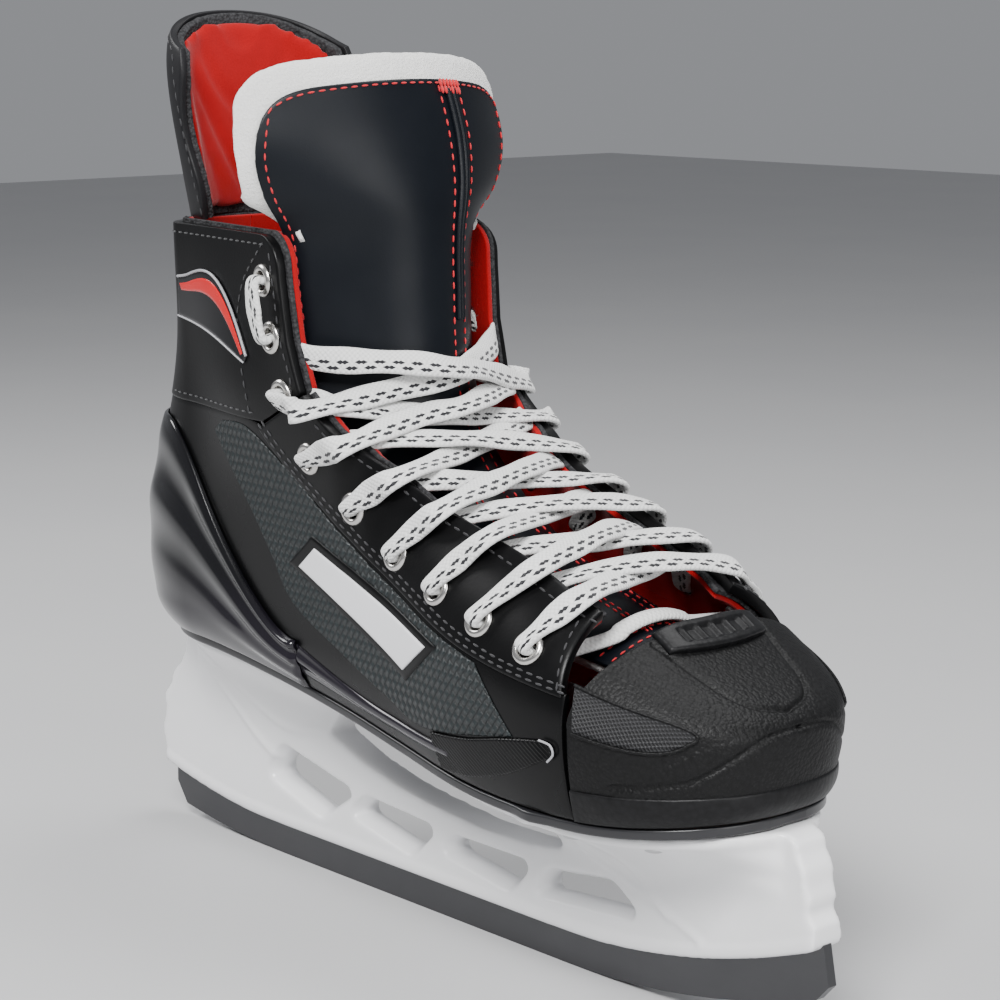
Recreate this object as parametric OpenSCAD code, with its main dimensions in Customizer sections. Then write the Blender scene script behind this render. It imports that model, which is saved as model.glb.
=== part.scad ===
/* [Overall] */
// Rear-most point of the boot, behind the holder's middle
heel_back = 131; // [120:1:150]
// Front-most point of the toe cap, ahead of the holder's middle
toe_front = 133; // [115:1:150]
// Height of the cuff's top edge above the ice
collar_height = 201; // [190:1:215]
// Half of the boot's width at the ball of the foot
ball_half_width = 45; // [38:0.5:54]
// Half of the boot's width at the heel
heel_half_width = 31; // [27:0.5:37]

/* [Shell] */
// Thickness of the quarters, cuff and facings
shell_wall = 2.5; // [2:0.1:3]
// Thickness of the parts sewn over the shell
overlay_wall = 1.5; // [1:0.1:2]
// Thickness of the lining behind the shell
liner_wall = 2.6; // [2:0.1:3]
// Clearance between neighbouring layers
layer_gap = 0.2; // [0.15:0.05:0.3]
// Thickness of the outsole plate
outsole_wall = 3; // [2.5:0.1:4]
// Thickness of the insole board
board_wall = 2.2; // [1.5:0.1:3]
// Thickness of the removable footbed
footbed_wall = 4; // [3:0.5:6]

/* [Runner and holder] */
// Thickness of the steel runner
runner_thickness = 3; // [2.8:0.1:4]
// Height of steel that shows below the holder
runner_reveal = 11; // [8:0.5:13]
// Depth of the runner inside the holder
runner_seat = 6; // [5:0.5:8]
// Clearance each side of the runner in the holder's slot
runner_clearance = 0.15; // [0.1:0.05:0.3]
// Width of the holder's bridge
bridge_width = 11; // [9:0.5:14]
// Wall of the hollow towers
tower_wall = 3; // [2.5:0.1:4]
// Radius of the hook bolts that hold the runner
bolt_radius = 2.5; // [2:0.1:3]
// Radius of a holder rivet's shank
rivet_radius = 2; // [1.5:0.1:2.5]

/* [Lacing] */
// Outer radius of an eyelet's flange
eyelet_flange_radius = 4.7; // [4:0.1:5.5]
// Radius of the hole through an eyelet
eyelet_hole_radius = 2.7; // [2.4:0.1:3.2]
// Radius of the lace where it is drawn round
lace_radius = 1.4; // [1:0.1:1.6]

/* [Tongue and guard] */
// Height of the tongue's leather face at its top
tongue_top = 244; // [225:1:255]
// Height that the felt stands past the leather
felt_border = 8; // [5:1:12]
// Thickness of the felt
felt_wall = 5; // [4:0.5:7]
// Thickness of the tongue's leather
leather_wall = 1.6; // [1.2:0.1:2]
// Height of the tendon guard's top edge
guard_top = 263; // [245:1:275]
// Thickness of the tendon guard's outer shell
guard_wall = 2.4; // [2:0.1:3]
// Thickness of the tendon guard's padding
guard_pad = 4.5; // [3:0.5:6]

/* [Hidden] */

lateral = -1;
medial = 1;
rivet_clear = 0.05;
clear = 0.3;
power = 2.35;
widest = 84;
toe_centre = 68;
heel_centre = 43 - heel_back;

// Height of the boot's sole line along the skate
SOLE = [[-140, 74], [-90, 74], [-50, 71], [-14, 67], [15, 63], [40, 60.5], [64, 59], [98, 59], [137, 63]];
// How far the rear outline stands ahead of the rear-most point, by height
REAR = [[60, 21], [67, 15], [78, 5], [92, 1], [108, 0], [125, 5], [150, 16], [175, 25], [205, 31], [265, 29]];
// Height of the closed ridge that the sides of the boot lean towards
CREST = [
  [-30, 900], [-12, 420], [-4, 235], [5, 186], [13, 162], [34, 141],
  [50, 131.5], [76, 119.5], [88, 113.5], [110, 103], [140, 92]
];
// Throat edge of the cuff and facings, from the collar to the toe
THROAT = [
  [-28, collar_height], [-27, 188], [-25, 172], [-19, 157], [-8, 148],
  [9, 140], [26, 132], [43, 126.5], [60, 121], [78, 114], [86, 110.5]
];
// Lower seam of the facing, opposite the throat's points from the cuff on
SEAM = [[-42, 145], [-30, 134], [-10, 122], [8, 113], [26, 106], [44, 100], [62, 96], [90, 92]];
// Eyelet places on each side, from the collar to the toe
EYELETS = [
  [-36, 188], [-33, 172], [-29, 156], [-19, 139], [-1, 127], [18, 117],
  [38, 111], [57, 106], [76, 102]
];

function ease(t) = let (c = min(max(t, 0), 1)) c * c * (3 - 2 * c);
function find(T, x, i = 0) = i >= len(T) - 2 || x < T[i + 1][0] ? i : find(T, x, i + 1);
function slope(T, i) = let (a = max(i - 1, 0), b = min(i + 1, len(T) - 1))
  (T[b][1] - T[a][1]) / (T[b][0] - T[a][0]);
// Smooth curve through the points of a table
function curve(T, x) = let (
  i = find(T, x), h = T[i + 1][0] - T[i][0], f = min(max((x - T[i][0]) / h, 0), 1), g = f * f, k = g * f
) (2 * k - 3 * g + 1) * T[i][1] + (k - 2 * g + f) * h * slope(T, i)
  + (3 * g - 2 * k) * T[i + 1][1] + (k - g) * h * slope(T, i + 1);
function sole_z(x) = curve(SOLE, x);
function rear_x(z) = curve(REAR, z) - heel_back;
function crest_z(x) = curve(CREST, x);
function lerp(a, b, t) = a + (b - a) * t;

// Half width of the boot before it closes in at the ends
BREADTH = [
  [-140, heel_half_width], [-100, heel_half_width], [-60, heel_half_width + 1.5],
  [-20, lerp(heel_half_width, ball_half_width, 0.3)], [15, lerp(heel_half_width, ball_half_width, 0.55)],
  [45, lerp(heel_half_width, ball_half_width, 0.9)], [70, ball_half_width], [140, ball_half_width]
];
cuff_flare = 7.5;
ankle_bulge = 3.2;
tendon_pinch = 2.5;
sole_tuck = 5;
function flare(x, z) = cuff_flare * ease((z - 120) / 80) * min(max((x + 110) / 90, 0), 1)
  + ankle_bulge * exp(-pow((x + 48) / 26, 2) - pow((z - 150) / 22, 2))
  - tendon_pinch * exp(-pow((x + 92) / 26, 2) - pow((z - 160) / 30, 2));
function tuck(x, z) = let (s = sole_z(x), l = min(max((widest - z) / (widest - s), 0), 1.3)) sole_tuck * l * l;
// Half width of the boot at a place on its side, at a depth inside the outer face
function half_w(x, z, d = 0) = let (
  b = curve(BREADTH, x) + flare(x, z) - d,
  t = min(max((z - widest) / (crest_z(x) - d - widest), 0), 1),
  e = min(max((x - toe_centre) / (toe_front - d - toe_centre), 0), 1),
  r = min(max((heel_centre - x) / (heel_centre - rear_x(z) - d), 0), 1),
  inside = pow(max(1 - pow(t, power) - pow(e, power), 0), 1 / power) * sqrt(max(1 - r * r, 0))
) max(b * inside - tuck(x, z) * min(inside * 2, 1), 0);
function side_point(s, p, d) = [p[0], s * half_w(p[0], p[1], d), p[1]];
// A point of the side where u runs from the rear's middle, 0, to the front edge x, 1
function round_rear(u, x, z, d) = let (r = rear_x(z) + d) [r + (x - r) * (1 - cos(90 * u)), z];

function unit(v) = v / norm(v);
// Outward direction of the side at a place
function side_normal(s, p) = let (
  a = side_point(s, p + [1, 0], 0) - side_point(s, p - [1, 0], 0),
  b = side_point(s, p + [0, 1], 0) - side_point(s, p - [0, 1], 0)
) unit(cross(a, b) * -s);

// Place on the side moved square to it, by a depth inside the outer face
function deep_point(s, p, d) = side_point(s, p, 0) - side_normal(s, p) * d;

// Closed solid between two grids of points; A is the outer face
module grid_solid(A, B) {
  m = len(A);
  n = len(A[0]);
  count = m * n;
  function at(k, i, j) = k * count + i * n + j;
  skin = [for (i = [0 : m - 2], j = [0 : n - 2], k = [0, 1])
    each k == 0
      ? [[at(0, i, j), at(0, i + 1, j), at(0, i + 1, j + 1)], [at(0, i, j), at(0, i + 1, j + 1), at(0, i, j + 1)]]
      : [[at(1, i, j), at(1, i + 1, j + 1), at(1, i + 1, j)], [at(1, i, j), at(1, i, j + 1), at(1, i + 1, j + 1)]]];
  ends = [for (i = [0 : m - 2]) each [
    [at(0, i, 0), at(1, i, 0), at(1, i + 1, 0)], [at(0, i, 0), at(1, i + 1, 0), at(0, i + 1, 0)],
    [at(0, i, n - 1), at(1, i + 1, n - 1), at(1, i, n - 1)],
    [at(0, i, n - 1), at(0, i + 1, n - 1), at(1, i + 1, n - 1)]
  ]];
  sides = [for (j = [0 : n - 2]) each [
    [at(0, 0, j), at(1, 0, j + 1), at(1, 0, j)], [at(0, 0, j), at(0, 0, j + 1), at(1, 0, j + 1)],
    [at(0, m - 1, j), at(1, m - 1, j), at(1, m - 1, j + 1)],
    [at(0, m - 1, j), at(1, m - 1, j + 1), at(0, m - 1, j + 1)]
  ]];
  polyhedron(points = [each [for (r = A) each r], each [for (r = B) each r]], faces = concat(skin, ends, sides));
}
// The same with the faces turned, for grids that run the other way round
module turned_solid(A, B) {
  grid_solid(B, A);
}
module side_solid(s, A, B) {
  if (s == medial) grid_solid(A, B);
  else grid_solid(B, A);
}
// Panel of the side between a lower and an upper line of [x, z] points
module side_panel(s, low, high, rows, d0, d1) {
  function grid(d) = [for (i = [0 : len(low) - 1]) [for (j = [0 : rows])
    deep_point(s, lerp(low[i], high[i], j / rows), d)]];
  side_solid(s, grid(d0), grid(d1));
}
module eyelet_holes(s, list, r) {
  for (p = list) at_eyelet(s, p) cylinder(h = 14, r = r, center = true, $fn = 32);
}
// Puts +Z along the outward direction at an eyelet, with the outer face at zero
module at_eyelet(s, p) {
  n = side_normal(s, p);
  translate(side_point(s, p, 0)) rotate([0, acos(n[2]), atan2(n[1], n[0])]) children();
}
function cuff_eyelets() = [for (i = [0 : 2]) EYELETS[i]];
function facing_eyelets() = [for (i = [3 : 8]) EYELETS[i]];

// Steel runner with its two hook tabs
front_bolt_x = 92;
rear_bolt_x = -92;
tab_hole_radius = 2.2;
tab_height = runner_reveal + runner_seat + 9;
tab_half = 8;
steel_top = runner_reveal + runner_seat;
front_rise = 0.0019;
rear_rise = 0.0014;
front_flat = 50;
rear_flat = -78;
runner_rear = -139;
runner_front = 145;
function steel_low(x) = x > front_flat ? front_rise * pow(x - front_flat, 2)
  : x < rear_flat ? rear_rise * pow(x - rear_flat, 2) : 0;
// Line where the holder's slot edge meets the steel
function slot_line(x) = runner_reveal + steel_low(x) * (x < 0 ? 1.45 : 1.15);
module runner() color([0.28, 0.28, 0.29]) {
  low = [for (i = [0 : 10]) let (x = lerp(front_flat, runner_front - 4, i / 10)) [x, steel_low(x)]];
  back = [for (i = [0 : 8]) let (x = lerp(runner_rear + 5, rear_flat, i / 8)) [x, steel_low(x)]];
  front_round = [[runner_front, steel_low(runner_front) + 3], [runner_front - 2, slot_line(runner_front)]];
  top = [for (i = [0 : 14]) let (x = lerp(runner_front - 10, runner_rear + 8, i / 14))
    [x, slot_line(x) + runner_seat]];
  rear_round = [[runner_rear, slot_line(runner_rear) - 2], [runner_rear, steel_low(runner_rear) + 6]];
  rotate([90, 0, 0]) linear_extrude(runner_thickness, center = true) difference() {
    union() {
      polygon(concat(low, front_round, top, rear_round, back));
      for (x = [front_bolt_x, rear_bolt_x]) translate([x - tab_half, slot_line(x)]) {
        square([2 * tab_half, tab_height - runner_reveal]);
      }
    }
    for (x = [front_bolt_x, rear_bolt_x]) translate([x, tab_pin_z(x)]) circle(r = tab_hole_radius + 0.05, $fn = 32);
  }
}
function tab_pin_z(x) = slot_line(x) + tab_height - runner_reveal - 5;

// Lofted tower of the holder, cut across the skate at stations along its length
flange_inset = 4;
rivet_room = 12;
function tower_ring(x, low, high, w, lift) = let (
  foot = bridge_width / 2 - w,
  reach = max(half_w(x, sole_z(x)) - flange_inset - (w > 0 ? rivet_room : 0), foot + 0.5),
  zl = low + w * lift,
  lip = 2.6,
  side = [for (k = [0 : 6]) let (t = k / 6) [foot + (reach - foot) * pow(t, 2.4), lerp(zl, high - lip, t)]],
  all = concat(side, [[reach, high + lift * w]])
) concat([for (p = all) [x, p[0], p[1]]], [for (k = [len(all) - 1 : -1 : 0]) [x, -all[k][0], all[k][1]]]);
module ring_loft(R) {
  m = len(R);
  n = len(R[0]);
  walls = [for (i = [0 : m - 2], j = [0 : n - 1]) let (k = (j + 1) % n) each [
    [i * n + j, (i + 1) * n + k, i * n + k], [i * n + j, (i + 1) * n + j, (i + 1) * n + k]
  ]];
  polyhedron(
    points = [for (r = R) each r],
    faces = concat(walls, [[for (j = [0 : n - 1]) j]], [[for (j = [n - 1 : -1 : 0]) (m - 1) * n + j]])
  );
}
// Lower and upper limits of each tower, as [x, low, high]
FRONT_TOWER = [[14, 57, 61], [24, 51, 60], [37, 43, 60], [48, 38, 60], [57, 33, 60], [75, 28, 60],
  [92, 28, 60], [110, 30, 60], [122, 32, 60], [130, 33, 60], [136, 34, 57], [140, 35, 46]];
REAR_TOWER = [[-139, 32, 40], [-135, 33, 47], [-130, 33, 54], [-124, 33, 61], [-116, 33, 70], [-100, 33, 70],
  [-84, 34, 70], [-68, 38, 70], [-55, 44, 70], [-46, 55, 70], [-40, 62, 70]];
holder_top_gap = 0.3;
function tower_top(x, high) = min(high, sole_z(x) - outsole_wall - holder_top_gap);
function tower(T, w, lift) = [for (p = T) tower_ring(p[0], p[1], tower_top(p[0], p[2] + 12 * (p[2] > 59 ? 1 : 0)),
  w, lift)];
// The hollow's stations stand a little off the outer ones
station_shift = 0.7;
function inner_stations(T, ends) = [for (i = [ends[0] : len(T) - 1 - ends[1]]) T[i] + [station_shift, 0, 0]];
SPINE = [
  [-140, 22], [-142, 30], [-137, 41], [-120, 46], [-58, 47], [-50, 45], [-36, 40], [-20, 36.5], [-5, 34.5],
  [17, 32.5], [38, 33], [54, 35], [70, 38], [138, 42], [143, 36], [143, 31]
];
WINDOWS = [
  [[-76, 36], [-43, 29], [-57, 19.5], [-82, 27]],
  [[-35, 28.5], [-5, 26.5], [-14, 18], [-41, 23.5]],
  [[4, 26], [36, 26], [29, 18], [1, 22]],
  [[45, 26], [70, 29], [79, 23], [41, 20]]
];
holder_window_round = 1.5;
module spine() {
  under = [for (i = [0 : 20]) let (x = lerp(142, -140, i / 20)) [x, slot_line(x)]];
  rotate([90, 0, 0]) linear_extrude(bridge_width, center = true) difference() {
    polygon(concat(SPINE, under));
    for (w = WINDOWS) offset(r = holder_window_round, $fn = 16) offset(delta = -holder_window_round) polygon(w);
  }
}
module runner_slot() {
  low = [for (i = [0 : 20]) let (x = lerp(-150, 150, i / 20)) [x, slot_line(x) - 8]];
  top = [for (i = [0 : 20]) let (x = lerp(150, -150, i / 20)) [x, slot_line(x) + runner_seat + 0.2]];
  width = runner_thickness + 2 * runner_clearance;
  rotate([90, 0, 0]) linear_extrude(width, center = true) {
    polygon(concat(low, top));
    for (x = [front_bolt_x, rear_bolt_x]) translate([x - tab_half - clear, slot_line(x)]) {
      square([2 * (tab_half + clear), tab_height - runner_reveal + 2]);
    }
  }
}
boss_radius = 5.3;
module bolt_boss(x) {
  z = tab_pin_z(x) - 8;
  translate([x, 0, z]) cylinder(h = sole_z(x) - outsole_wall - 10 - z, r = boss_radius, $fn = 48);
}
module bolt_bore(x) {
  z = tab_pin_z(x) + 6;
  translate([x, 0, z]) cylinder(h = 60, r = bolt_radius + 0.1, $fn = 48);
  translate([x - hook_half - 0.4, -hook_half - 0.4, tab_pin_z(x) - hook_half - 0.6]) {
    cube([2 * hook_half + 0.8, 2 * hook_half + 0.8, 2 * hook_half + 9]);
  }
}
hook_half = 3.6;
module blade_holder() color([0.93, 0.93, 0.94]) difference() {
  union() {
    difference() {
      union() {
        spine();
        ring_loft(tower(FRONT_TOWER, 0, 0));
        ring_loft(tower(REAR_TOWER, 0, 0));
      }
      ring_loft(tower(inner_stations(FRONT_TOWER, [4, 3]), tower_wall, 1));
      ring_loft(tower(inner_stations(REAR_TOWER, [3, 3]), tower_wall, 1));
    }
    for (x = [front_bolt_x, rear_bolt_x]) bolt_boss(x);
  }
  runner_slot();
  for (x = [front_bolt_x, rear_bolt_x]) bolt_bore(x);
  for (p = concat(FRONT_RIVETS, REAR_RIVETS)) rivet_bore(p);
}

// Hook bolt: threaded shank with a forked foot and a cross pin through the runner's tab
module hook_bolt(x) color("silver") {
  z = tab_pin_z(x);
  translate([x, 0, z + hook_half + 2]) cylinder(h = bolt_top(x) - z - hook_half - 2, r = bolt_radius, $fn = 48);
  difference() {
    translate([x - hook_half, -hook_half, z - hook_half]) cube([2 * hook_half, 2 * hook_half, 2 * hook_half + 6]);
    translate([x - hook_half - 1, -runner_thickness / 2 - 0.2, z - hook_half - 1]) {
      cube([2 * hook_half + 2, runner_thickness + 0.4, 2 * hook_half + 2.6]);
    }
  }
  translate([x, 0, z]) rotate([90, 0, 0]) cylinder(h = 2 * hook_half, r = tab_hole_radius - 0.05, center = true, $fn = 32);
}
function boss_top(x) = sole_z(x) - outsole_wall - 10;
washer_wall = 1;
nut_wall = 4;
function bolt_top(x) = boss_top(x) + washer_wall + nut_wall + 1;
module runner_bolt_front() hook_bolt(front_bolt_x);
module runner_bolt_rear() hook_bolt(rear_bolt_x);
module bolt_washers() color("silver") for (x = [front_bolt_x, rear_bolt_x]) translate([x, 0, boss_top(x)]) {
  difference() {
    cylinder(h = washer_wall, r = 6, $fn = 48);
    translate([0, 0, -1]) cylinder(h = 4, r = bolt_radius + 0.1, $fn = 48);
  }
}
module bolt_nuts() color("silver") for (x = [front_bolt_x, rear_bolt_x]) {
  translate([x, 0, boss_top(x) + washer_wall]) difference() {
    cylinder(h = nut_wall, r = 4.6, $fn = 6);
    translate([0, 0, -1]) cylinder(h = 8, r = bolt_radius + 0.08, $fn = 48);
  }
}

// Rivets through the flange, outsole and insole board
function rivet_y(x) = half_w(x, sole_z(x)) - flange_inset - 5.5;
FRONT_RIVETS = [for (x = [34, 58, 82, 106], s = [-1, 1]) [x, s * rivet_y(x)]];
REAR_RIVETS = [for (x = [-104, -84, -64], s = [-1, 1]) [x, s * rivet_y(x)]];
rivet_grip = 3.2;
rivet_head_wall = 1.2;
function rivet_low(x) = sole_z(x) - outsole_wall - rivet_grip;
module rivet_bore(p) {
  translate([p[0], p[1], rivet_low(p[0])]) cylinder(h = 20, r = rivet_radius + rivet_clear, $fn = 32);
  translate([p[0], p[1], rivet_low(p[0]) - 20]) cylinder(h = 20.001, r = rivet_radius + 2.1, $fn = 32);
}
module rivets(list) color([0.75, 0.75, 0.76]) for (p = list) translate([p[0], p[1], rivet_low(p[0])]) {
  length = rivet_grip + outsole_wall + board_wall + 0.6;
  translate([0, 0, -rivet_head_wall]) cylinder(h = rivet_head_wall, r = rivet_radius + 1.8, $fn = 32);
  cylinder(h = length + 1, r = rivet_radius, $fn = 32);
}
module holder_rivets_front() rivets(FRONT_RIVETS);
module holder_rivets_rear() rivets(REAR_RIVETS);
module rivet_burrs() color([0.75, 0.75, 0.76]) for (p = concat(FRONT_RIVETS, REAR_RIVETS)) {
  translate([p[0], p[1], sole_z(p[0]) + board_wall + 0.8]) difference() {
    cylinder(h = 0.8, r = rivet_radius + 1.4, $fn = 32);
    translate([0, 0, -1]) cylinder(h = 3, r = rivet_radius + rivet_clear, $fn = 32);
  }
}

// Plate that follows the sole line, between two heights above it
// Edge of a sole plate: ahead of the toe's centre it follows the foot of the toe cap
function plate_x(t, d) = let (a = rear_x(72) + d + 0.4, b = toe_front - d - 0.4) lerp(a, b, (1 - cos(180 * t)) / 2);
module sole_plate(d, low, high, from = 0, to = 1) {
  n = 26;
  function row(h) = [for (i = [0 : n]) let (
    x = plate_x(lerp(from, to, i / n), d), k = tuck(x, sole_z(x)) / ball_half_width * ease((x - toe_centre) / 15),
    e = (x - toe_centre) / (toe_front - d - toe_centre),
    y = x < toe_centre ? half_w(x, sole_z(x), d)
      : lerp(half_w(x, sole_z(x), d), (ball_half_width - d) * pow(max(1 - pow(e, power), 0), 1 / power) * (1 - k),
        ease((x - toe_centre) / 15)),
    q = x - max(x - toe_centre, 0) * k * 0.5
  ) [for (j = [-3 : 3]) [q, max(y, 0.6) * j / 3, sole_z(q) + h]]];
  grid_solid(row(low), row(high));
}
module through_rivets() {
  for (p = concat(FRONT_RIVETS, REAR_RIVETS)) translate([p[0], p[1], 40]) {
    cylinder(h = 60, r = rivet_radius + rivet_clear, $fn = 32);
  }
}
// Ways through the sole to the nuts of the hook bolts
access_radius = 7;
module bolt_access() {
  for (x = [front_bolt_x, rear_bolt_x]) translate([x, 0, 40]) cylinder(h = 60, r = access_radius, $fn = 48);
}
module outsole() color([0.07, 0.07, 0.08]) difference() {
  sole_plate(0, -outsole_wall, 0);
  through_rivets();
  bolt_access();
}
board_depth = shell_wall + 3 * layer_gap + 0.4;
module insole_board() color([0.35, 0.3, 0.24]) difference() {
  sole_plate(board_depth, 0.3, 0.3 + board_wall);
  through_rivets();
  bolt_access();
}
footbed_depth = shell_wall + liner_wall + 4 * layer_gap + 1.2;
footbed_low = 0.3 + board_wall + 2.4;
module footbed() color([0.6, 0.08, 0.08]) {
  sole_plate(footbed_depth, footbed_low, footbed_low + footbed_wall);
}

// Sides of the boot
shell_low = 0.3;
cuff_low = 147;
quarter_front = 90.8;
function facing_seam(x) = let (T = concat([[-90, 146.5], [-60, 146.5]], SEAM)) curve(T, x);
// Panel that starts at the rear's middle; each column holds one share of the way to the front line
module wrapped_panel(s, front, low, high, n, m, d0, d1, u0 = 0, part = 0.3) {
  function settle(f, u, z, times) = times == 0 ? z : settle(f, u, f(round_rear(u, front, z, 0)[0]), times - 1);
  function point(i, j, d) = let (
    u = lerp(u0, 1, i / n),
    z = lerp(settle(low, u, 80, 3), settle(high, u, 120, 5), j / m),
    q = round_rear(u, front, z, d),
    w = side_point(s, q, d)
  ) [w[0], s * max(s * w[1], i == 0 && u0 == 0 ? part : 0.3), w[2]];
  function grid(d) = [for (i = [0 : n]) [for (j = [0 : m]) point(i, j, d)]];
  side_solid(s, grid(d0), grid(d1));
}
module quarter(s) color([0.06, 0.07, 0.07]) {
  wrapped_panel(s, quarter_front, function (x) sole_z(x) + shell_low, function (x) facing_seam(x) - 3.5 * clear,
    22, 7, 0, shell_wall);
}
module quarter_lateral() quarter(lateral);
module quarter_medial() quarter(medial);

function facing_low() = SEAM;
function facing_high() = [for (i = [3 : 10]) THROAT[i]];
function densify(L, k) = [for (i = [0 : (len(L) - 1) * k]) let (
  a = min(floor(i / k), len(L) - 2)) lerp(L[a], L[a + 1], i / k - a)];
module facing(s) color([0.05, 0.05, 0.055]) difference() {
  side_panel(s, densify(facing_low(), 2), densify(facing_high(), 2), 4, -facing_stand, shell_wall);
  eyelet_holes(s, facing_eyelets(), eyelet_hole_radius + 0.75);
}
module facing_lateral() facing(lateral);
module facing_medial() facing(medial);

// The cuff stands on the quarter and carries the top three eyelets
function cuff_front(z) = z > 188 ? lerp(-27, -28, (z - 188) / (collar_height - 188))
  : z > 172 ? lerp(-25, -27, (z - 172) / 16) : z > 157 ? lerp(-20, -25, (z - 157) / 15)
  : lerp(-39.5, -20.4, (z - cuff_low) / (157 - cuff_low));
cuff_columns = 16;
cuff_rows = 6;
function cuff_point(s, i, j, d) = let (
  z = lerp(cuff_low, collar_height, j / cuff_rows),
  w = side_point(s, round_rear(i / cuff_columns, cuff_front(z) - clear, z, d), d)
) [w[0], s * max(s * w[1], 0.3), w[2]];
function cuff_grid(s, d) = [for (i = [0 : cuff_columns]) [for (j = [0 : cuff_rows]) cuff_point(s, i, j, d)]];
module cuff(s) color([0.05, 0.05, 0.055]) difference() {
  side_solid(s, cuff_grid(s, 0), cuff_grid(s, shell_wall));
  eyelet_holes(s, cuff_eyelets(), eyelet_hole_radius + 0.75);
}
module cuff_lateral() cuff(lateral);
module cuff_medial() cuff(medial);

// Moulded counter over the heel, one piece round the back
counter_front = -30;
function counter_top(x) = lerp(140, 84, ease((x + 112) / 82));
counter_columns = 16;
counter_rows = 6;
function counter_point(u, t, d) = let (
  xs = rear_x(100) + (counter_front - rear_x(100)) * (1 - cos(90 * abs(u))),
  z = lerp(sole_z(xs) + shell_low, counter_top(xs), t)
) side_point(u < 0 ? lateral : medial, round_rear(abs(u), counter_front, z, d), d);
function counter_grid(d) = [for (i = [-counter_columns : counter_columns]) [for (j = [0 : counter_rows])
  counter_point(i / counter_columns, j / counter_rows, d)]];
module heel_counter() color([0.08, 0.08, 0.09]) {
  grid_solid(counter_grid(-2.5 * layer_gap - overlay_wall), counter_grid(-2.5 * layer_gap));
}

// Toe cap: upright wall up to the widest line, then a dome
cap_rear = 92;
cap_top_rear = 99;
function cap_line(z) = lerp(cap_rear, cap_top_rear, ease((z - widest) / 26));
// One column of the cap, from the sole up over the side to its middle line
function cap_place(a, t, d) = let (
  out = pow(max(cos(90 * t), 0), 2 / power),
  rise = pow(sin(90 * t), 2 / power),
  ahead = toe_front - d - toe_centre,
  b = ball_half_width - d,
  x = toe_centre + ahead * out * pow(max(cos(a), 0), 2 / power)
) [x, b * out * pow(abs(sin(a)), 2 / power) * (a < 0 ? -1 : 1), widest + (crest_z(x) - d - widest) * rise];
function cap_wall(a, t, d) = let (
  p = cap_place(a, 0, d),
  z = lerp(sole_z(p[0]) + shell_low, widest, t),
  k = tuck(p[0], z) / ball_half_width
) [p[0] - (p[0] - toe_centre) * k * 0.5, p[1] * (1 - k), z];
// The dome's columns stop at the cap's rear line
function cap_limit(a, d, t = 0) = t >= 0.94 ? 0.94
  : cap_place(a, t, d)[0] < cap_line(cap_place(a, t, d)[2]) ? t : cap_limit(a, d, t + 0.01);
cap_columns = 18;
function cap_side_angle(d) = let (k = (cap_rear - toe_centre) / (toe_front - d - toe_centre)) acos(pow(k, power / 2));
function cap_column(u, d) = let (a = cap_side_angle(d) * u, e = cap_limit(a, d)) concat(
  [for (j = [0 : 3]) cap_wall(a, j / 3, d)],
  [for (j = [1 : 7]) cap_place(a, max(e, 0.02) * j / 7, d)]
);
function cap_grid(d) = [for (i = [-cap_columns : cap_columns]) cap_column(i / cap_columns, d)];
module toe_cap() color([0.09, 0.09, 0.09]) turned_solid(cap_grid(0), cap_grid(shell_wall));

// Rubber rand round the foot of the toe cap
rand_height = 9;
function rand_grid(d) = [for (i = [-cap_columns : cap_columns]) let (
  a = cap_side_angle(d) * i / cap_columns
) [for (j = [0 : 3]) cap_wall(a, 0.42 * j / 3, d)]];
module toe_bumper() color([0.05, 0.05, 0.05]) {
  turned_solid(rand_grid(-layer_gap - overlay_wall), rand_grid(-layer_gap));
}
// Leaf of mesh let on to each side of the cap
function mesh_grid(s, d) = [for (i = [0 : 8]) let (
  a = s * lerp(cap_side_angle(0) - 2, 34, i / 8), h = 0.25 * sin(180 * lerp(0.12, 0.9, i / 8))
) [for (j = [0 : 3]) cap_place(a, lerp(0.06, 0.06 + h, j / 3), d)]];
module toe_mesh(s) color([0.16, 0.16, 0.16]) {
  side_solid(s, mesh_grid(s, -layer_gap - 0.6), mesh_grid(s, -layer_gap));
}
module toe_mesh_lateral() toe_mesh(lateral);
module toe_mesh_medial() toe_mesh(medial);
// Curved tab over the cap's top edge, under the lowest lace
tab_half_width = 16;
function tab_row(d) = [for (i = [0 : 10]) let (y = lerp(-tab_half_width, tab_half_width, i / 10)) [
  for (j = [0 : 3]) let (x = lerp(99, 107, j / 3), b = ball_half_width,
    h = pow(1 - pow(abs(y) / b, power) - pow((x - toe_centre) / (toe_front - toe_centre), power), 1 / power))
    [x, y, widest + (crest_z(x) - widest) * h + d]
]];
module toe_tab() color([0.06, 0.06, 0.06]) {
  grid_solid(tab_row(2.4), tab_row(0.5));
}

// Blank plate on the quarter, slanting down to the toe
plate_corners = [[-27, 106.5], [26, 87], [37, 95.5], [-19, 113]];
module label_plate(s) color([0.85, 0.85, 0.86]) {
  low = densify([plate_corners[0], plate_corners[1]], 8);
  high = densify([plate_corners[3], plate_corners[2]], 8);
  side_panel(s, low, high, 3, -layer_gap - 1, -layer_gap);
}
module label_plate_lateral() label_plate(lateral);
module label_plate_medial() label_plate(medial);
// Teardrop badge on the ankle
module ankle_badge(s) color([0.45, 0.06, 0.06]) {
  low = [for (i = [0 : 8]) let (t = i / 8) [lerp(-88, -48, t), lerp(174, 163.5, t) + 1.5 * sin(180 * t)]];
  high = [for (i = [0 : 8]) let (t = i / 8) [lerp(-87, -46, t), lerp(186, 165, t) + 13 * sin(180 * pow(t, 1.2))]];
  side_panel(s, low, high, 3, -layer_gap - 1, -layer_gap);
}
module ankle_badge_lateral() ankle_badge(lateral);
module ankle_badge_medial() ankle_badge(medial);
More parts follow.
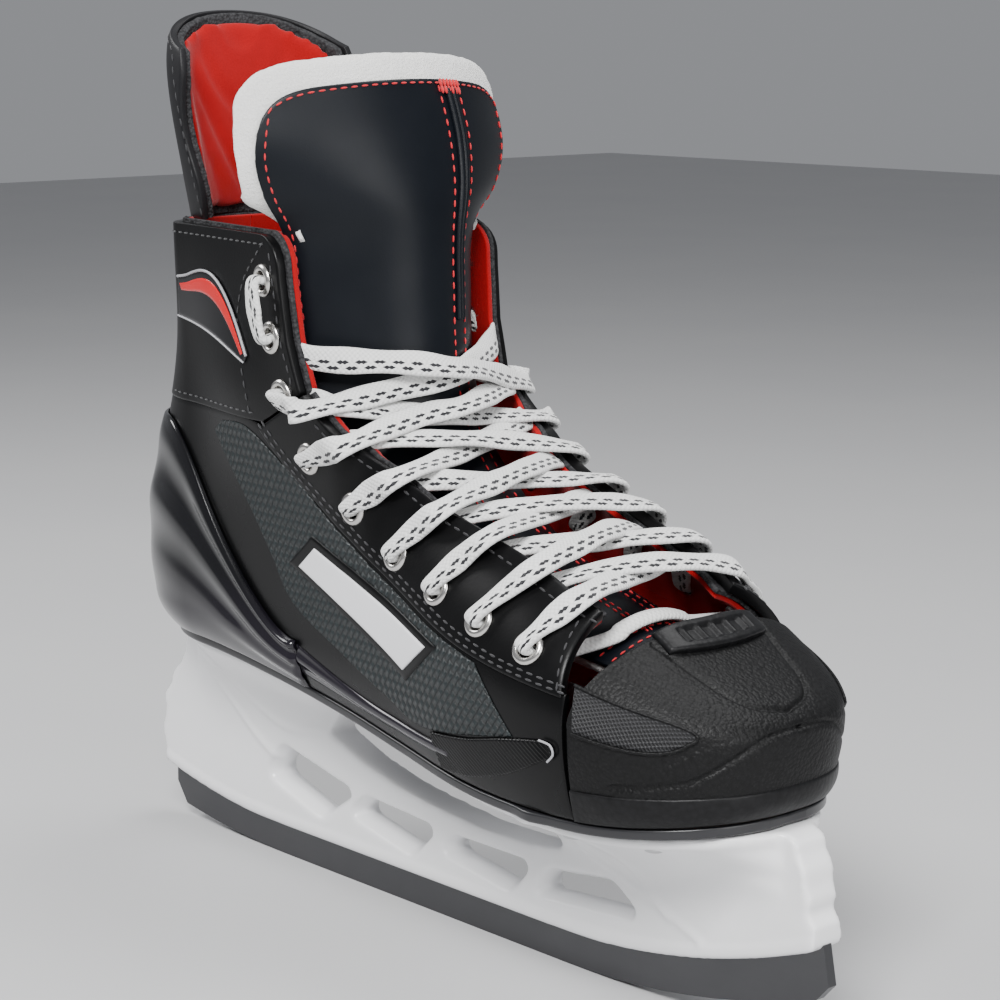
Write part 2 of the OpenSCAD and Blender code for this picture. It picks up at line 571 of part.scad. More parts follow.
// Pointed textured emblem at the front of the quarter
module side_emblem(s) color([0.1, 0.1, 0.1]) {
  low = [for (i = [0 : 6]) let (t = i / 6) [lerp(40, 85, t), lerp(63, 76, t)]];
  high = [for (i = [0 : 6]) let (t = i / 6) [lerp(38, 86, t), lerp(72, 79, t)]];
  side_panel(s, low, high, 2, -layer_gap - 0.8, -layer_gap);
}
module side_emblem_lateral() side_emblem(lateral);
module side_emblem_medial() side_emblem(medial);

// Lining behind the shell, and the padding over the ankle bones
lining_out = shell_wall + 3.5 * layer_gap;
lining_in = lining_out + liner_wall;
lining_low = 0.3 + board_wall + layer_gap;
module liner(s) color([0.75, 0.02, 0.03]) {
  wrapped_panel(s, quarter_front, function (x) sole_z(x) + lining_low,
    function (x) x < -54 ? collar_height - 1 : facing_seam(x) - 1, 22, 8, lining_out, lining_in);
}
module liner_lateral() liner(lateral);
module liner_medial() liner(medial);
toe_lining_wall = 1.4;
function toe_lining(d) = [for (i = [-12 : 12]) let (a = cap_side_angle(d) * 0.98 * i / 12, e = cap_limit(a, d)) concat(
  [for (j = [1 : 3]) cap_wall(a, lerp(0.16, 1, (j - 1) / 2), d)],
  [for (j = [1 : 5]) cap_place(a, max(e, 0.02) * j / 5, d)]
)];
module liner_toe() color([0.2, 0.2, 0.2]) {
  turned_solid(toe_lining(lining_out), toe_lining(lining_out + toe_lining_wall));
}
pad_bulge = 4;
function pad_place(u, v) = [lerp(-94, -56, u), lerp(128, 172, v)];
function pad_grid(s, bulge) = [for (u = [0 : 0.125 : 1]) [for (v = [0 : 0.125 : 1]) side_point(s, pad_place(u, v),
  lining_in + 2.5 * layer_gap + (bulge > 0 ? 0.4 + bulge * sin(180 * u) * sin(180 * v) : 0))]];
module ankle_pad(s) color([0.65, 0.02, 0.03]) side_solid(s, pad_grid(s, 0), pad_grid(s, pad_bulge));
module ankle_pad_lateral() ankle_pad(lateral);
module ankle_pad_medial() ankle_pad(medial);

// Eyelets: flange outside, barrel through the panel and a rolled rim inside
module eyelet(lift) {
  back = -shell_wall - 0.7;
  rotate_extrude($fn = 40) polygon([
    [eyelet_hole_radius, back - 0.9], [eyelet_hole_radius + 1.6, back - 0.9],
    [eyelet_hole_radius + 1.6, back], [eyelet_hole_radius + 0.6, back],
    [eyelet_hole_radius + 0.6, lift], [eyelet_flange_radius, lift],
    [eyelet_flange_radius, lift + 0.4], [eyelet_flange_radius - 0.9, lift + 0.9],
    [eyelet_hole_radius + 0.4, lift + 0.8], [eyelet_hole_radius, lift + 0.3]
  ]);
}
facing_stand = 0.8;
cuff_eyelet_lift = 1.05;
module eyelets(s) color([0.72, 0.72, 0.72]) {
  for (p = cuff_eyelets()) at_eyelet(s, p) eyelet(cuff_eyelet_lift);
  for (p = facing_eyelets()) at_eyelet(s, p) eyelet(cuff_eyelet_lift + facing_stand);
}
module eyelets_lateral() eyelets(lateral);
module eyelets_medial() eyelets(medial);

// Tongue: middle line up the instep, then standing above the collar
TONGUE = [
  [97, 98], [80, 103], [62, 108.5], [44, 114], [27, 121], [12, 131], [1, 143], [-5, 157], [-7, 172],
  [-8, 190], [-9, 210], [-13, 228], [-18, tongue_top]
];
tongue_split = 9;
function tongue_mid(t) = let (i = min(floor(t), len(TONGUE) - 2), f = t - i,
  a = TONGUE[max(i - 1, 0)], b = TONGUE[i], c = TONGUE[i + 1], e = TONGUE[min(i + 2, len(TONGUE) - 1)]
) 0.5 * ((2 * b) + (c - a) * f + (2 * a - 5 * b + 4 * c - e) * f * f + (3 * b - a - 3 * c + e) * f * f * f);
function tongue_out(t) = let (v = unit(tongue_mid(min(t + 0.1, 12)) - tongue_mid(max(t - 0.1, 0)))) [v[1], -v[0]];
TONGUE_HALF = [[0, 17], [2, 23], [4, 25.5], [6, 28], [7.5, 31], [8.5, 33], [9.5, 35], [10.3, 43], [11, 46], [12, 42]];
TONGUE_DROP = [[0, 5], [3, 11], [5, 13], [7, 20], [8, 23], [9.5, 24], [10.3, 21], [11, 18], [12, 13]];
// Point of the tongue: t along it, w across from -1 to 1, d in from its face, e past the leather's edge
function tongue_point(t, w, d, e) = let (
  m = tongue_mid(t), o = tongue_out(t), half = curve(TONGUE_HALF, t),
  y = (half + e * ease((t - 9.4) / 0.9)) * sin(62 * w) / sin(62),
  sag = curve(TONGUE_DROP, t) * y * y / (half * half) + d
) [m[0] - o[0] * sag, y, m[1] - o[1] * sag];
tongue_columns = 10;
function tongue_grid(t0, t1, n, d, e, lift) = [for (i = [0 : n]) let (
  t = lerp(t0, t1, i / n), up = i == n ? lift : 0
) [for (j = [-tongue_columns / 2 : tongue_columns / 2])
  tongue_point(t, 2 * j / tongue_columns, d, e) + [-0.3 * up, 0, up]]];
module tongue_leather(t0, t1, n) color([0.06, 0.08, 0.1]) {
  grid_solid(tongue_grid(t0, t1, n, 0, 0, 0), tongue_grid(t0, t1, n, leather_wall, 0, 0));
}
module tongue_felt(t0, t1, n, border, lift) color([0.92, 0.92, 0.9]) {
  grid_solid(
    tongue_grid(t0, t1, n, leather_wall + 2 * layer_gap, border, lift),
    tongue_grid(t0, t1, n, leather_wall + 2 * layer_gap + felt_wall, border, lift)
  );
}
split_gap = 0.05;
module tongue_leather_lower() tongue_leather(0.3, tongue_split - split_gap, 12);
module tongue_felt_lower() tongue_felt(0.3, tongue_split - split_gap, 12, 0, 0);
module tongue_leather_upper() tongue_leather(tongue_split + split_gap, 12, 10);
module tongue_felt_upper() tongue_felt(tongue_split + split_gap, 12, 10, 4.5, felt_border);
piping_radius = 1.3;
piping_share = 0.28;
module tongue_piping() color([0.05, 0.06, 0.08]) {
  sweep([for (i = [0 : 8]) tongue_point(lerp(tongue_split + 0.3, 11.7, i / 8), piping_share,
    -piping_radius - 0.05, 0)], piping_radius, 8, [0, 1, 0]);
}
// Tube through a list of points, each ring square to the way it runs
function heading(P, i) = unit(P[min(i + 1, len(P) - 1)] - P[max(i - 1, 0)]);
// Side vectors carried along a path without twist
function carry(P, i, a) = let (v = heading(P, i), b = unit(a - v * (a * v)))
  i == len(P) - 1 ? [b] : concat([b], carry(P, i + 1, b));
module sweep(P, r, sides, across) {
  n = len(P);
  A = carry(P, 0, unit(cross(heading(P, 0), across)));
  rings = [for (i = [0 : n - 1]) let (a = A[i], b = cross(heading(P, i), a))
    [for (k = [0 : sides - 1]) P[i] + r * (a * cos(360 * k / sides) + b * sin(360 * k / sides))]];
  ring_loft(rings);
}

// Tendon guard: a curved flap that stands behind the collar
GUARD_HALF = [[197, 28], [215, 31], [240, 33], [255, 31], [guard_top, 25]];
guard_low = collar_height + 0.6;
guard_depth = 34;
guard_columns = 12;
guard_rows = 7;
function guard_rear(z) = rear_x(205) - 5 * ease((z - 201) / 62) - 1;
function guard_place(w, t, d) = let (
  z = lerp(guard_low, guard_top, t) - 5 * w * w * t,
  half = curve(GUARD_HALF, z) - d,
  x = guard_rear(z) + d + guard_depth * (1 - 0.25 * t) * (1 - sqrt(max(1 - 0.93 * w * w, 0)))
) [x, half * sin(80 * w) / sin(80), z];
function guard_grid(d, share) = [for (i = [-guard_columns / 2 : guard_columns / 2]) [for (j = [0 : guard_rows])
  guard_place(2 * share * i / guard_columns, j / guard_rows, d)]];
module tendon_guard_shell() color([0.07, 0.07, 0.07]) grid_solid(guard_grid(0, 1), guard_grid(guard_wall, 1));
module tendon_guard_pad() color([0.8, 0.02, 0.03]) {
  grid_solid(guard_grid(guard_wall + 2 * layer_gap, 0.97), guard_grid(guard_wall + 2 * layer_gap + guard_pad, 0.97));
}

// Lace: two strands cross from side to side between a bar at the toe and the top eyelets
lace_out = 4.5;
lace_over = 3.7;
lace_in = -shell_wall - 3.4;
function eyelet_at(s, i, h) = side_point(s, EYELETS[i], 0) + side_normal(s, EYELETS[i]) * h;
// Place on the throat's edge beside an eyelet, a height over or under the panel
function throat_at(s, i, h) = let (
  e = EYELETS[i], a = THROAT[i + 1], b = THROAT[i + 2 > 10 ? 10 : i + 2], p = lerp(a, b, 0.35)
) side_point(s, p, 0) + side_normal(s, p) * h;
function tongue_at(z, t = 2) = t >= 11 || tongue_mid(t)[1] >= z ? t : tongue_at(z, t + 0.05);
// Place on a crossing between the throat's edges, a share across, and clear of the tongue's face
function across_at(s, i, y, h) = let (
  a = throat_at(s, i, 0), b = throat_at(-s, i - 1, 0), f = (a[1] - y) / (a[1] - b[1]), m = lerp(a, b, f),
  t = tongue_at(m[2]), w = abs(y) / curve(TONGUE_HALF, t),
  face = tongue_mid(t) - tongue_out(t) * curve(TONGUE_DROP, t) * w * w,
  x = max(m[0], face[0] + lace_radius + 1.4)
) [x + h * 0.7, y, m[2] + h * 0.7];
shoulder = 13;
// One crossing: out of an eyelet, over its own edge, across, under the other edge and into the next eyelet
function crossing(s, i, h) = concat(
  [eyelet_at(s, i, lace_out), throat_at(s, i, lace_over)],
  i > 3 ? [across_at(s, i, 0, h)] : [for (k = [1, 0, -1]) across_at(s, i, k * s * shoulder, h)],
  [throat_at(-s, i - 1, lace_in), eyelet_at(-s, i - 1, lace_in)]
);
// From the toe to the second eyelet, then up the outside and in at the top one
function strand(s, h) = concat(
  [eyelet_at(s, 8, lace_in)],
  [for (k = [8 : -1 : 2]) each crossing(k % 2 == 0 ? s : -s, k, h)],
  [for (p = [[1, lace_out], [0, lace_out], [0, lace_in]]) eyelet_at(-s, p[0], p[1])],
  [[-44, -s * 29, 187], [tip_start[0], -s * tip_start[1], tip_start[2]]]
);
// Inside end of each strand, where its tip begins
tip_start = [-52, 27, 187];
tip_length = 20;
module lace(s, h) color([0.93, 0.93, 0.93]) {
  sweep(strand(s, h), lace_radius, 8, [0.31, 0.2 * s, 0.93]);
}
module lace_strand_a() lace(lateral, 0.4);
module lace_strand_b() lace(medial, 5.6);
bar_place = 1;
module lace_bar() color([0.93, 0.93, 0.93]) {
  a = eyelet_at(lateral, 8, lace_in - 2 * lace_radius - layer_gap);
  b = eyelet_at(medial, 8, lace_in - 2 * lace_radius - layer_gap);
  over = [for (w = [-0.7 : 0.35 : 0.75]) tongue_point(bar_place, w, -lace_radius - 0.8, 0)];
  sweep(concat([a], over, [b]), lace_radius, 8, [1, 0, 0]);
}
module lace_tips() color([0.85, 0.85, 0.85]) for (s = [lateral, medial]) {
  translate([tip_start[0] - layer_gap, s * tip_start[1], tip_start[2]]) rotate([0, -90, 0]) {
    cylinder(h = tip_length, r = lace_radius + 0.1, $fn = 24);
  }
}

runner();
blade_holder();
runner_bolt_front();
runner_bolt_rear();
bolt_washers();
bolt_nuts();
holder_rivets_front();
holder_rivets_rear();
rivet_burrs();
outsole();
insole_board();
footbed();
quarter_lateral();
quarter_medial();
heel_counter();
facing_lateral();
facing_medial();
cuff_lateral();
cuff_medial();
toe_cap();
toe_bumper();
toe_mesh_lateral();
toe_mesh_medial();
toe_tab();
label_plate_lateral();
label_plate_medial();
ankle_badge_lateral();
ankle_badge_medial();
side_emblem_lateral();
side_emblem_medial();
liner_lateral();
liner_medial();
liner_toe();
ankle_pad_lateral();
ankle_pad_medial();
eyelets_lateral();
eyelets_medial();
tongue_leather_lower();
tongue_felt_lower();
tongue_leather_upper();
tongue_felt_upper();
tongue_piping();
tendon_guard_shell();
tendon_guard_pad();
lace_strand_a();
lace_strand_b();
lace_bar();
lace_tips();
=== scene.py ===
"""Ice skate: moulded boot, felt tongue, laces, windowed holder and steel runner, built round its frame."""

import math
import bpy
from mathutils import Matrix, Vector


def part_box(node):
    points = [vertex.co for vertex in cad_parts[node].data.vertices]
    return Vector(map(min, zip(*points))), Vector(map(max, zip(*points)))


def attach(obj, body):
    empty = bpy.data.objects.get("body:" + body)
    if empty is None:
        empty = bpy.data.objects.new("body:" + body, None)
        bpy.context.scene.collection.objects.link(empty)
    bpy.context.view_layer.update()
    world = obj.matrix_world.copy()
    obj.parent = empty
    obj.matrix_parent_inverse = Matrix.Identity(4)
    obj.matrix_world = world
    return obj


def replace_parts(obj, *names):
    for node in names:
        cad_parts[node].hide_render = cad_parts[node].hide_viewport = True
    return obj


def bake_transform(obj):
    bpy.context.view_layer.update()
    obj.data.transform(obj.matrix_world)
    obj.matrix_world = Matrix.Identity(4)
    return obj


bl_info = {
    "name": "Ice Skate Maker",
    "version": (1, 0, 0),
    "blender": (4, 5, 0),
    "location": "View3D > Sidebar > Skate",
    "description": "Builds the pieces of a laced ice skate round its frame",
    "category": "Object",
}

import bmesh
import bpy
import numpy as np
from mathutils import Vector, noise

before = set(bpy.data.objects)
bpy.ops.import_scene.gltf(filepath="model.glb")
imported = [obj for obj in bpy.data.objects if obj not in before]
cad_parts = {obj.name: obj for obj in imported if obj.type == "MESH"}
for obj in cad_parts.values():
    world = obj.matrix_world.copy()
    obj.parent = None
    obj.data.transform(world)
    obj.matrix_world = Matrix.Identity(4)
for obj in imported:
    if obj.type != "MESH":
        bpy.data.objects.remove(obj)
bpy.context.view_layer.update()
MM = 0.001

# ---------------------------------------------------------------- sizes shared by every piece, in millimetres
LATERAL, MEDIAL = -1, 1
HEEL_BACK = -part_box("quarter_lateral")[0].x / MM
TOE_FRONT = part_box("toe_cap")[1].x / MM
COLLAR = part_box("cuff_lateral")[1].z / MM
GUARD_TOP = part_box("tendon_guard_shell")[1].z / MM
BALL_HALF = 45.0
HEEL_HALF = 31.0
SHELL = 2.5
POWER = 2.35
WIDEST = 84.0
TOE_CENTRE = 68.0
HEEL_CENTRE = 43.0 - HEEL_BACK
TONGUE_TOP = 244.0

SOLE = [(-140, 74), (-90, 74), (-50, 71), (-14, 67), (15, 63), (40, 60.5), (64, 59), (98, 59), (137, 63)]
REAR = [(60, 21), (67, 15), (78, 5), (92, 1), (108, 0), (125, 5), (150, 16), (175, 25), (205, 31), (265, 29)]
CREST = [(-30, 900), (-12, 420), (-4, 235), (5, 186), (13, 162), (34, 141), (50, 131.5), (76, 119.5),
         (88, 113.5),
         (110, 103), (140, 92)]
THROAT = [(-28, COLLAR), (-27, 188), (-25, 172), (-19, 157), (-8, 148), (9, 140), (26, 132), (43, 126.5),
          (60, 121),
          (78, 114), (86, 110.5)]
SEAM = [(-42, 145), (-30, 134), (-10, 122), (8, 113), (26, 106), (44, 100), (62, 96), (90, 92)]
EYELETS = [(-36, 188), (-33, 172), (-29, 156), (-19, 139), (-1, 127), (18, 117), (38, 111), (57, 106),
           (76, 102)]
TONGUE = [(97, 98), (80, 103), (62, 108.5), (44, 114), (27, 121), (12, 131), (1, 143), (-5, 157), (-7, 172),
          (-8, 190), (-9, 210), (-13, 228), (-18, TONGUE_TOP)]
TONGUE_HALF = [(0, 17), (2, 23), (4, 25.5), (6, 28), (7.5, 31), (8.5, 33), (9.5, 35), (10.3, 43), (11, 46),
               (12, 42)]
TONGUE_DROP = [(0, 5), (3, 11), (5, 13), (7, 20), (8, 23), (9.5, 24), (10.3, 21), (11, 18), (12, 13)]
BREADTH = [(-140, HEEL_HALF), (-100, HEEL_HALF), (-60, HEEL_HALF + 1.5),
           (-20, HEEL_HALF + 0.3 * (BALL_HALF - HEEL_HALF)), (15, HEEL_HALF + 0.55 * (BALL_HALF - HEEL_HALF)),
           (45, HEEL_HALF + 0.9 * (BALL_HALF - HEEL_HALF)), (70, BALL_HALF), (140, BALL_HALF)]


def curve(table, x):
    """Smooth curve through a table's points, as the frame's surfaces use."""
    pts = np.array(table, float)
    xs, ys = pts[:, 0], pts[:, 1]
    x = np.asarray(x, float)
    last = len(xs) - 1
    a = np.maximum(np.arange(last + 1) - 1, 0)
    b = np.minimum(np.arange(last + 1) + 1, last)
    m = (ys[b] - ys[a]) / (xs[b] - xs[a])
    i = np.clip(np.searchsorted(xs, x, side="right") - 1, 0, last - 1)
    h = xs[i + 1] - xs[i]
    f = np.clip((x - xs[i]) / h, 0, 1)
    g, k = f * f, f * f * f
    return ((2 * k - 3 * g + 1) * ys[i] + (k - 2 * g + f) * h * m[i]
            + (3 * g - 2 * k) * ys[i + 1] + (k - g) * h * m[i + 1])


def ease(t):
    c = np.clip(t, 0, 1)
    return c * c * (3 - 2 * c)


def mix(a, b, t):
    return a + (b - a) * t


def sole_z(x):
    return curve(SOLE, x)


def rear_x(z):
    return curve(REAR, z) - HEEL_BACK


def crest_z(x):
    return curve(CREST, x)


def flare(x, z):
    return (7.5 * ease((z - 120) / 80) * np.clip((x + 110) / 90, 0, 1)
            + 3.2 * np.exp(-((x + 48) / 26) ** 2 - ((z - 150) / 22) ** 2)
            - 2.5 * np.exp(-((x + 92) / 26) ** 2 - ((z - 160) / 30) ** 2))


def tuck(x, z):
    s = sole_z(x)
    return 5 * np.clip((WIDEST - z) / (WIDEST - s), 0, 1.3) ** 2


def half_w(x, z):
    """Half width of the boot at a place on its side."""
    b = curve(BREADTH, x) + flare(x, z)
    t = np.clip((z - WIDEST) / (crest_z(x) - WIDEST), 0, 1)
    e = np.clip((x - TOE_CENTRE) / (TOE_FRONT - TOE_CENTRE), 0, 1)
    r = np.clip((HEEL_CENTRE - x) / (HEEL_CENTRE - rear_x(z)), 0, 1)
    inside = np.clip(1 - t ** POWER - e ** POWER, 0, 1) ** (1 / POWER) * np.sqrt(np.clip(1 - r * r, 0, 1))
    return np.maximum(b * inside - tuck(x, z) * np.minimum(inside * 2, 1), 0)


def side_xyz(s, x, z):
    x, z = np.broadcast_arrays(np.asarray(x, float), np.asarray(z, float))
    return np.stack([x, s * half_w(x, z), z], -1)


def side_normal(s, x, z):
    a = side_xyz(s, x + 1, z) - side_xyz(s, x - 1, z)
    b = side_xyz(s, x, z + 1) - side_xyz(s, x, z - 1)
    n = np.cross(a, b) * -s
    return n / np.linalg.norm(n, axis=-1, keepdims=True)


def spline(points, t):
    """Catmull-Rom through points at whole values of t."""
    p = np.array(points, float)
    t = np.asarray(t, float)
    i = np.clip(np.floor(t).astype(int), 0, len(p) - 2)
    f = (t - i)[..., None]
    a, b, c, e = p[np.maximum(i - 1, 0)], p[i], p[i + 1], p[np.minimum(i + 2, len(p) - 1)]
    return 0.5 * (2 * b + (c - a) * f + (2 * a - 5 * b + 4 * c - e) * f * f + (3 * b - a - 3 * c + e)
                  * f ** 3)


# ---------------------------------------------------------------- mesh helpers
def new_object(name, verts, faces, material, smooth=True, uv=None):
    mesh = bpy.data.meshes.new(name)
    mesh.from_pydata([tuple(v) for v in np.asarray(verts, float).reshape(-1, 3) * MM], [], faces)
    mesh.update()
    if uv is not None:
        layer = mesh.uv_layers.new(name="UVMap")
        index = np.zeros(len(mesh.loops), np.int64)
        mesh.loops.foreach_get("vertex_index", index)
        layer.data.foreach_set("uv", np.asarray(uv, float).reshape(-1, 2)[index].ravel())
    mesh.polygons.foreach_set("use_smooth", [smooth] * len(mesh.polygons))
    mesh.materials.append(material)
    obj = bpy.data.objects.new(name, mesh)
    bpy.context.scene.collection.objects.link(obj)
    outward(obj)
    return obj


def outward(obj):
    """Turns a closed mesh's faces to point out of it."""
    bm = bmesh.new()
    bm.from_mesh(obj.data)
    bmesh.ops.remove_doubles(bm, verts=bm.verts, dist=1e-7)
    bmesh.ops.recalc_face_normals(bm, faces=bm.faces)
    if bm.calc_volume(signed=True) < 0:
        bmesh.ops.reverse_faces(bm, faces=bm.faces)
    bm.to_mesh(obj.data)
    bm.free()


def grid_faces(m, n, base=0, flip=False):
    i, j = np.meshgrid(np.arange(m - 1), np.arange(n - 1), indexing="ij")
    a = base + i * n + j
    quads = np.stack([a, a + n, a + n + 1, a + 1], -1).reshape(-1, 4)
    return (quads[:, ::-1] if flip else quads).tolist()


def border(m, n):
    return ([i * n for i in range(m)] + [(m - 1) * n + j for j in range(1, n)]
            + [i * n + n - 1 for i in range(m - 2, -1, -1)] + [j for j in range(n - 2, 0, -1)])


def arc(P, axis):
    step = np.linalg.norm(np.diff(P, axis=axis), axis=-1)
    return np.insert(np.cumsum(step, axis=axis), 0, 0, axis=axis)


def edge_distance(P):
    """Distance of every grid point from the nearest edge of the grid."""
    u, v = arc(P, 0), arc(P, 1)
    return np.minimum(np.minimum(u, u[-1:] - u), np.minimum(v, v[:, -1:] - v))


def rim_drop(P, r):
    d = np.minimum(edge_distance(P), r)
    return r - np.sqrt(np.maximum(r * r - (r - d) ** 2, 0))


def grid_normals(P):
    n = np.cross(np.gradient(P, axis=0), np.gradient(P, axis=1))
    return n / np.maximum(np.linalg.norm(n, axis=-1, keepdims=True), 1e-9)


def spaced(n, length, r):
    """Shares from 0 to 1 along a length, close together at both ends so that a rounded rim is smooth."""
    k = np.array([0, 0.06, 0.25, 0.55, 1.0]) * r / length
    return np.concatenate([k, np.linspace(k[-1], 1 - k[-1], n)[1:-1], 1 - k[::-1]])


def shell(name, P, N, out, depth, material, rim=0.6, back_rim=0.4, smooth=True):
    """Closed panel: outer face at a height over the surface P, inner face at a depth under it."""
    m, n = P.shape[:2]
    out = np.broadcast_to(out, (m, n)) - rim_drop(P, rim)
    depth = np.broadcast_to(depth, (m, n)) - rim_drop(P, back_rim)
    A = P + N * out[..., None]
    B = P - N * depth[..., None]
    faces = grid_faces(m, n) + grid_faces(m, n, m * n, True)
    loop = border(m, n)
    faces += [[loop[k], loop[(k + 1) % len(loop)], m * n + loop[(k + 1) % len(loop)], m * n + loop[k]][::-1]
              for k in range(len(loop))]
    uv = np.stack([arc(P, 0), arc(P, 1)], -1)
    uv = np.concatenate([uv.reshape(-1, 2), uv.reshape(-1, 2)]) * 0.1
    return new_object(name, np.concatenate([A.reshape(-1, 3), B.reshape(-1, 3)]), faces, material, smooth, uv)


def wrapped_grid(s, front, low, high, U, V, u0=0.0):
    """Side surface from the rear's middle line round to a front line; low and high give its heights by x."""
    turn = 1 - np.cos(math.pi / 2 * mix(u0, 1, U))

    def settled(height):
        z = np.full(len(U), 120.0)
        for _ in range(6):
            r = rear_x(z)
            z = height(r + (front - r) * turn)
        return z

    z = mix(settled(low)[:, None], settled(high)[:, None], V[None, :])
    r = rear_x(z)
    x = r + (front - r) * turn[:, None]
    return side_xyz(s, x, z)


def facing_out(P, N):
    """Turns normals away from the boot's middle."""
    away = np.sum(N * (P - np.array([-20.0, 0, 110.0])), -1).mean()
    return N if away > 0 else -N


def panel_between(s, low, high, U, V):
    a, b = spline(low, U * (len(low) - 1)), spline(high, U * (len(high) - 1))
    p = mix(a[:, None, :], b[:, None, :], V[None, :, None])
    return side_xyz(s, p[..., 0], p[..., 1]), side_normal(s, p[..., 0], p[..., 1])


def tube(name, P, radius, sides, material, squash=1.0, normal=None):
    """Round or flattened tube along points."""
    P = np.asarray(P, float)
    n = len(P)
    T = np.gradient(P, axis=0)
    T /= np.linalg.norm(T, axis=1, keepdims=True)
    R = np.broadcast_to(radius, (n,))
    up = np.broadcast_to(np.array([0, 0, 1.0]) if normal is None else normal, (n, 3))
    B = np.cross(T, up)
    B /= np.maximum(np.linalg.norm(B, axis=1, keepdims=True), 1e-9)
    U = np.cross(B, T)
    ang = np.linspace(0, 2 * math.pi, sides, endpoint=False)
    rings = (P[:, None] + R[:, None, None] * (np.cos(ang)[None, :, None] * B[:, None]
             + squash * np.sin(ang)[None, :, None] * U[:, None]))
    faces = []
    for i in range(n - 1):
        faces += [[i * sides + k, i * sides + (k + 1) % sides, (i + 1) * sides + (k + 1) % sides,
                   (i + 1) * sides + k] for k in range(sides)]
    faces += [list(range(sides))[::-1], [(n - 1) * sides + k for k in range(sides)]]
    L = np.insert(np.cumsum(np.linalg.norm(np.diff(P, axis=0), axis=1)), 0, 0)
    uv = np.stack([np.repeat(L[:, None], sides, 1), np.repeat(ang[None] / (2 * math.pi), n, 0)], -1) * [0.1,
        1]
    return new_object(name, rings.reshape(-1, 3), faces, material, True, uv)


def join(name, objects):
    """One piece of several meshes that keep their own materials."""
    for o in bpy.context.selected_objects:
        o.select_set(False)
    for o in objects:
        o.select_set(True)
    bpy.context.view_layer.objects.active = objects[0]
    bpy.ops.object.join()
    objects[0].name = objects[0].data.name = name
    return objects[0]


def apply_modifiers(obj):
    dg = bpy.context.evaluated_depsgraph_get()
    mesh = bpy.data.meshes.new_from_object(obj.evaluated_get(dg))
    obj.modifiers.clear()
    old = obj.data
    obj.data = mesh
    bpy.data.meshes.remove(old)
    mesh.name = obj.name
    return obj


# ---------------------------------------------------------------- shader helpers
class Val:
    """A shader socket that can be used in Python sums."""

    def __init__(self, tree, socket):
        self.tree, self.socket = tree, socket

    def _math(self, op, *others):
        node = self.tree.nodes.new("ShaderNodeMath")
        node.operation = op
        for k, v in enumerate([self, *others]):
            if isinstance(v, Val):
                self.tree.links.new(v.socket, node.inputs[k])
            else:
                node.inputs[k].default_value = v
        return Val(self.tree, node.outputs[0])

    def _flip(self, op, other):
        node = self.tree.nodes.new("ShaderNodeMath")
        node.operation = op
        node.inputs[0].default_value = other
        self.tree.links.new(self.socket, node.inputs[1])
        return Val(self.tree, node.outputs[0])

    def __add__(self, o):
        return self._math("ADD", o)

    def __radd__(self, o):
        return self._flip("ADD", o)

    def __sub__(self, o):
        return self._math("SUBTRACT", o)

    def __rsub__(self, o):
        return self._flip("SUBTRACT", o)

    def __mul__(self, o):
        return self._math("MULTIPLY", o)

    def __rmul__(self, o):
        return self._flip("MULTIPLY", o)

    def __truediv__(self, o):
        return self._math("DIVIDE", o)

    def __gt__(self, o):
        return self._math("GREATER_THAN", o)

    def __lt__(self, o):
        return self._math("LESS_THAN", o)

    def __neg__(self):
        return self * -1.0

    def sin(self):
        return self._math("SINE")

    def abs(self):
        return self._math("ABSOLUTE")

    def fract(self):
        return self._math("FRACT")

    def floor(self):
        return self._math("FLOOR")

    def max(self, o):
        return self._math("MAXIMUM", o)

    def min(self, o):
        return self._math("MINIMUM", o)

    def power(self, o):
        return self._math("POWER", o)


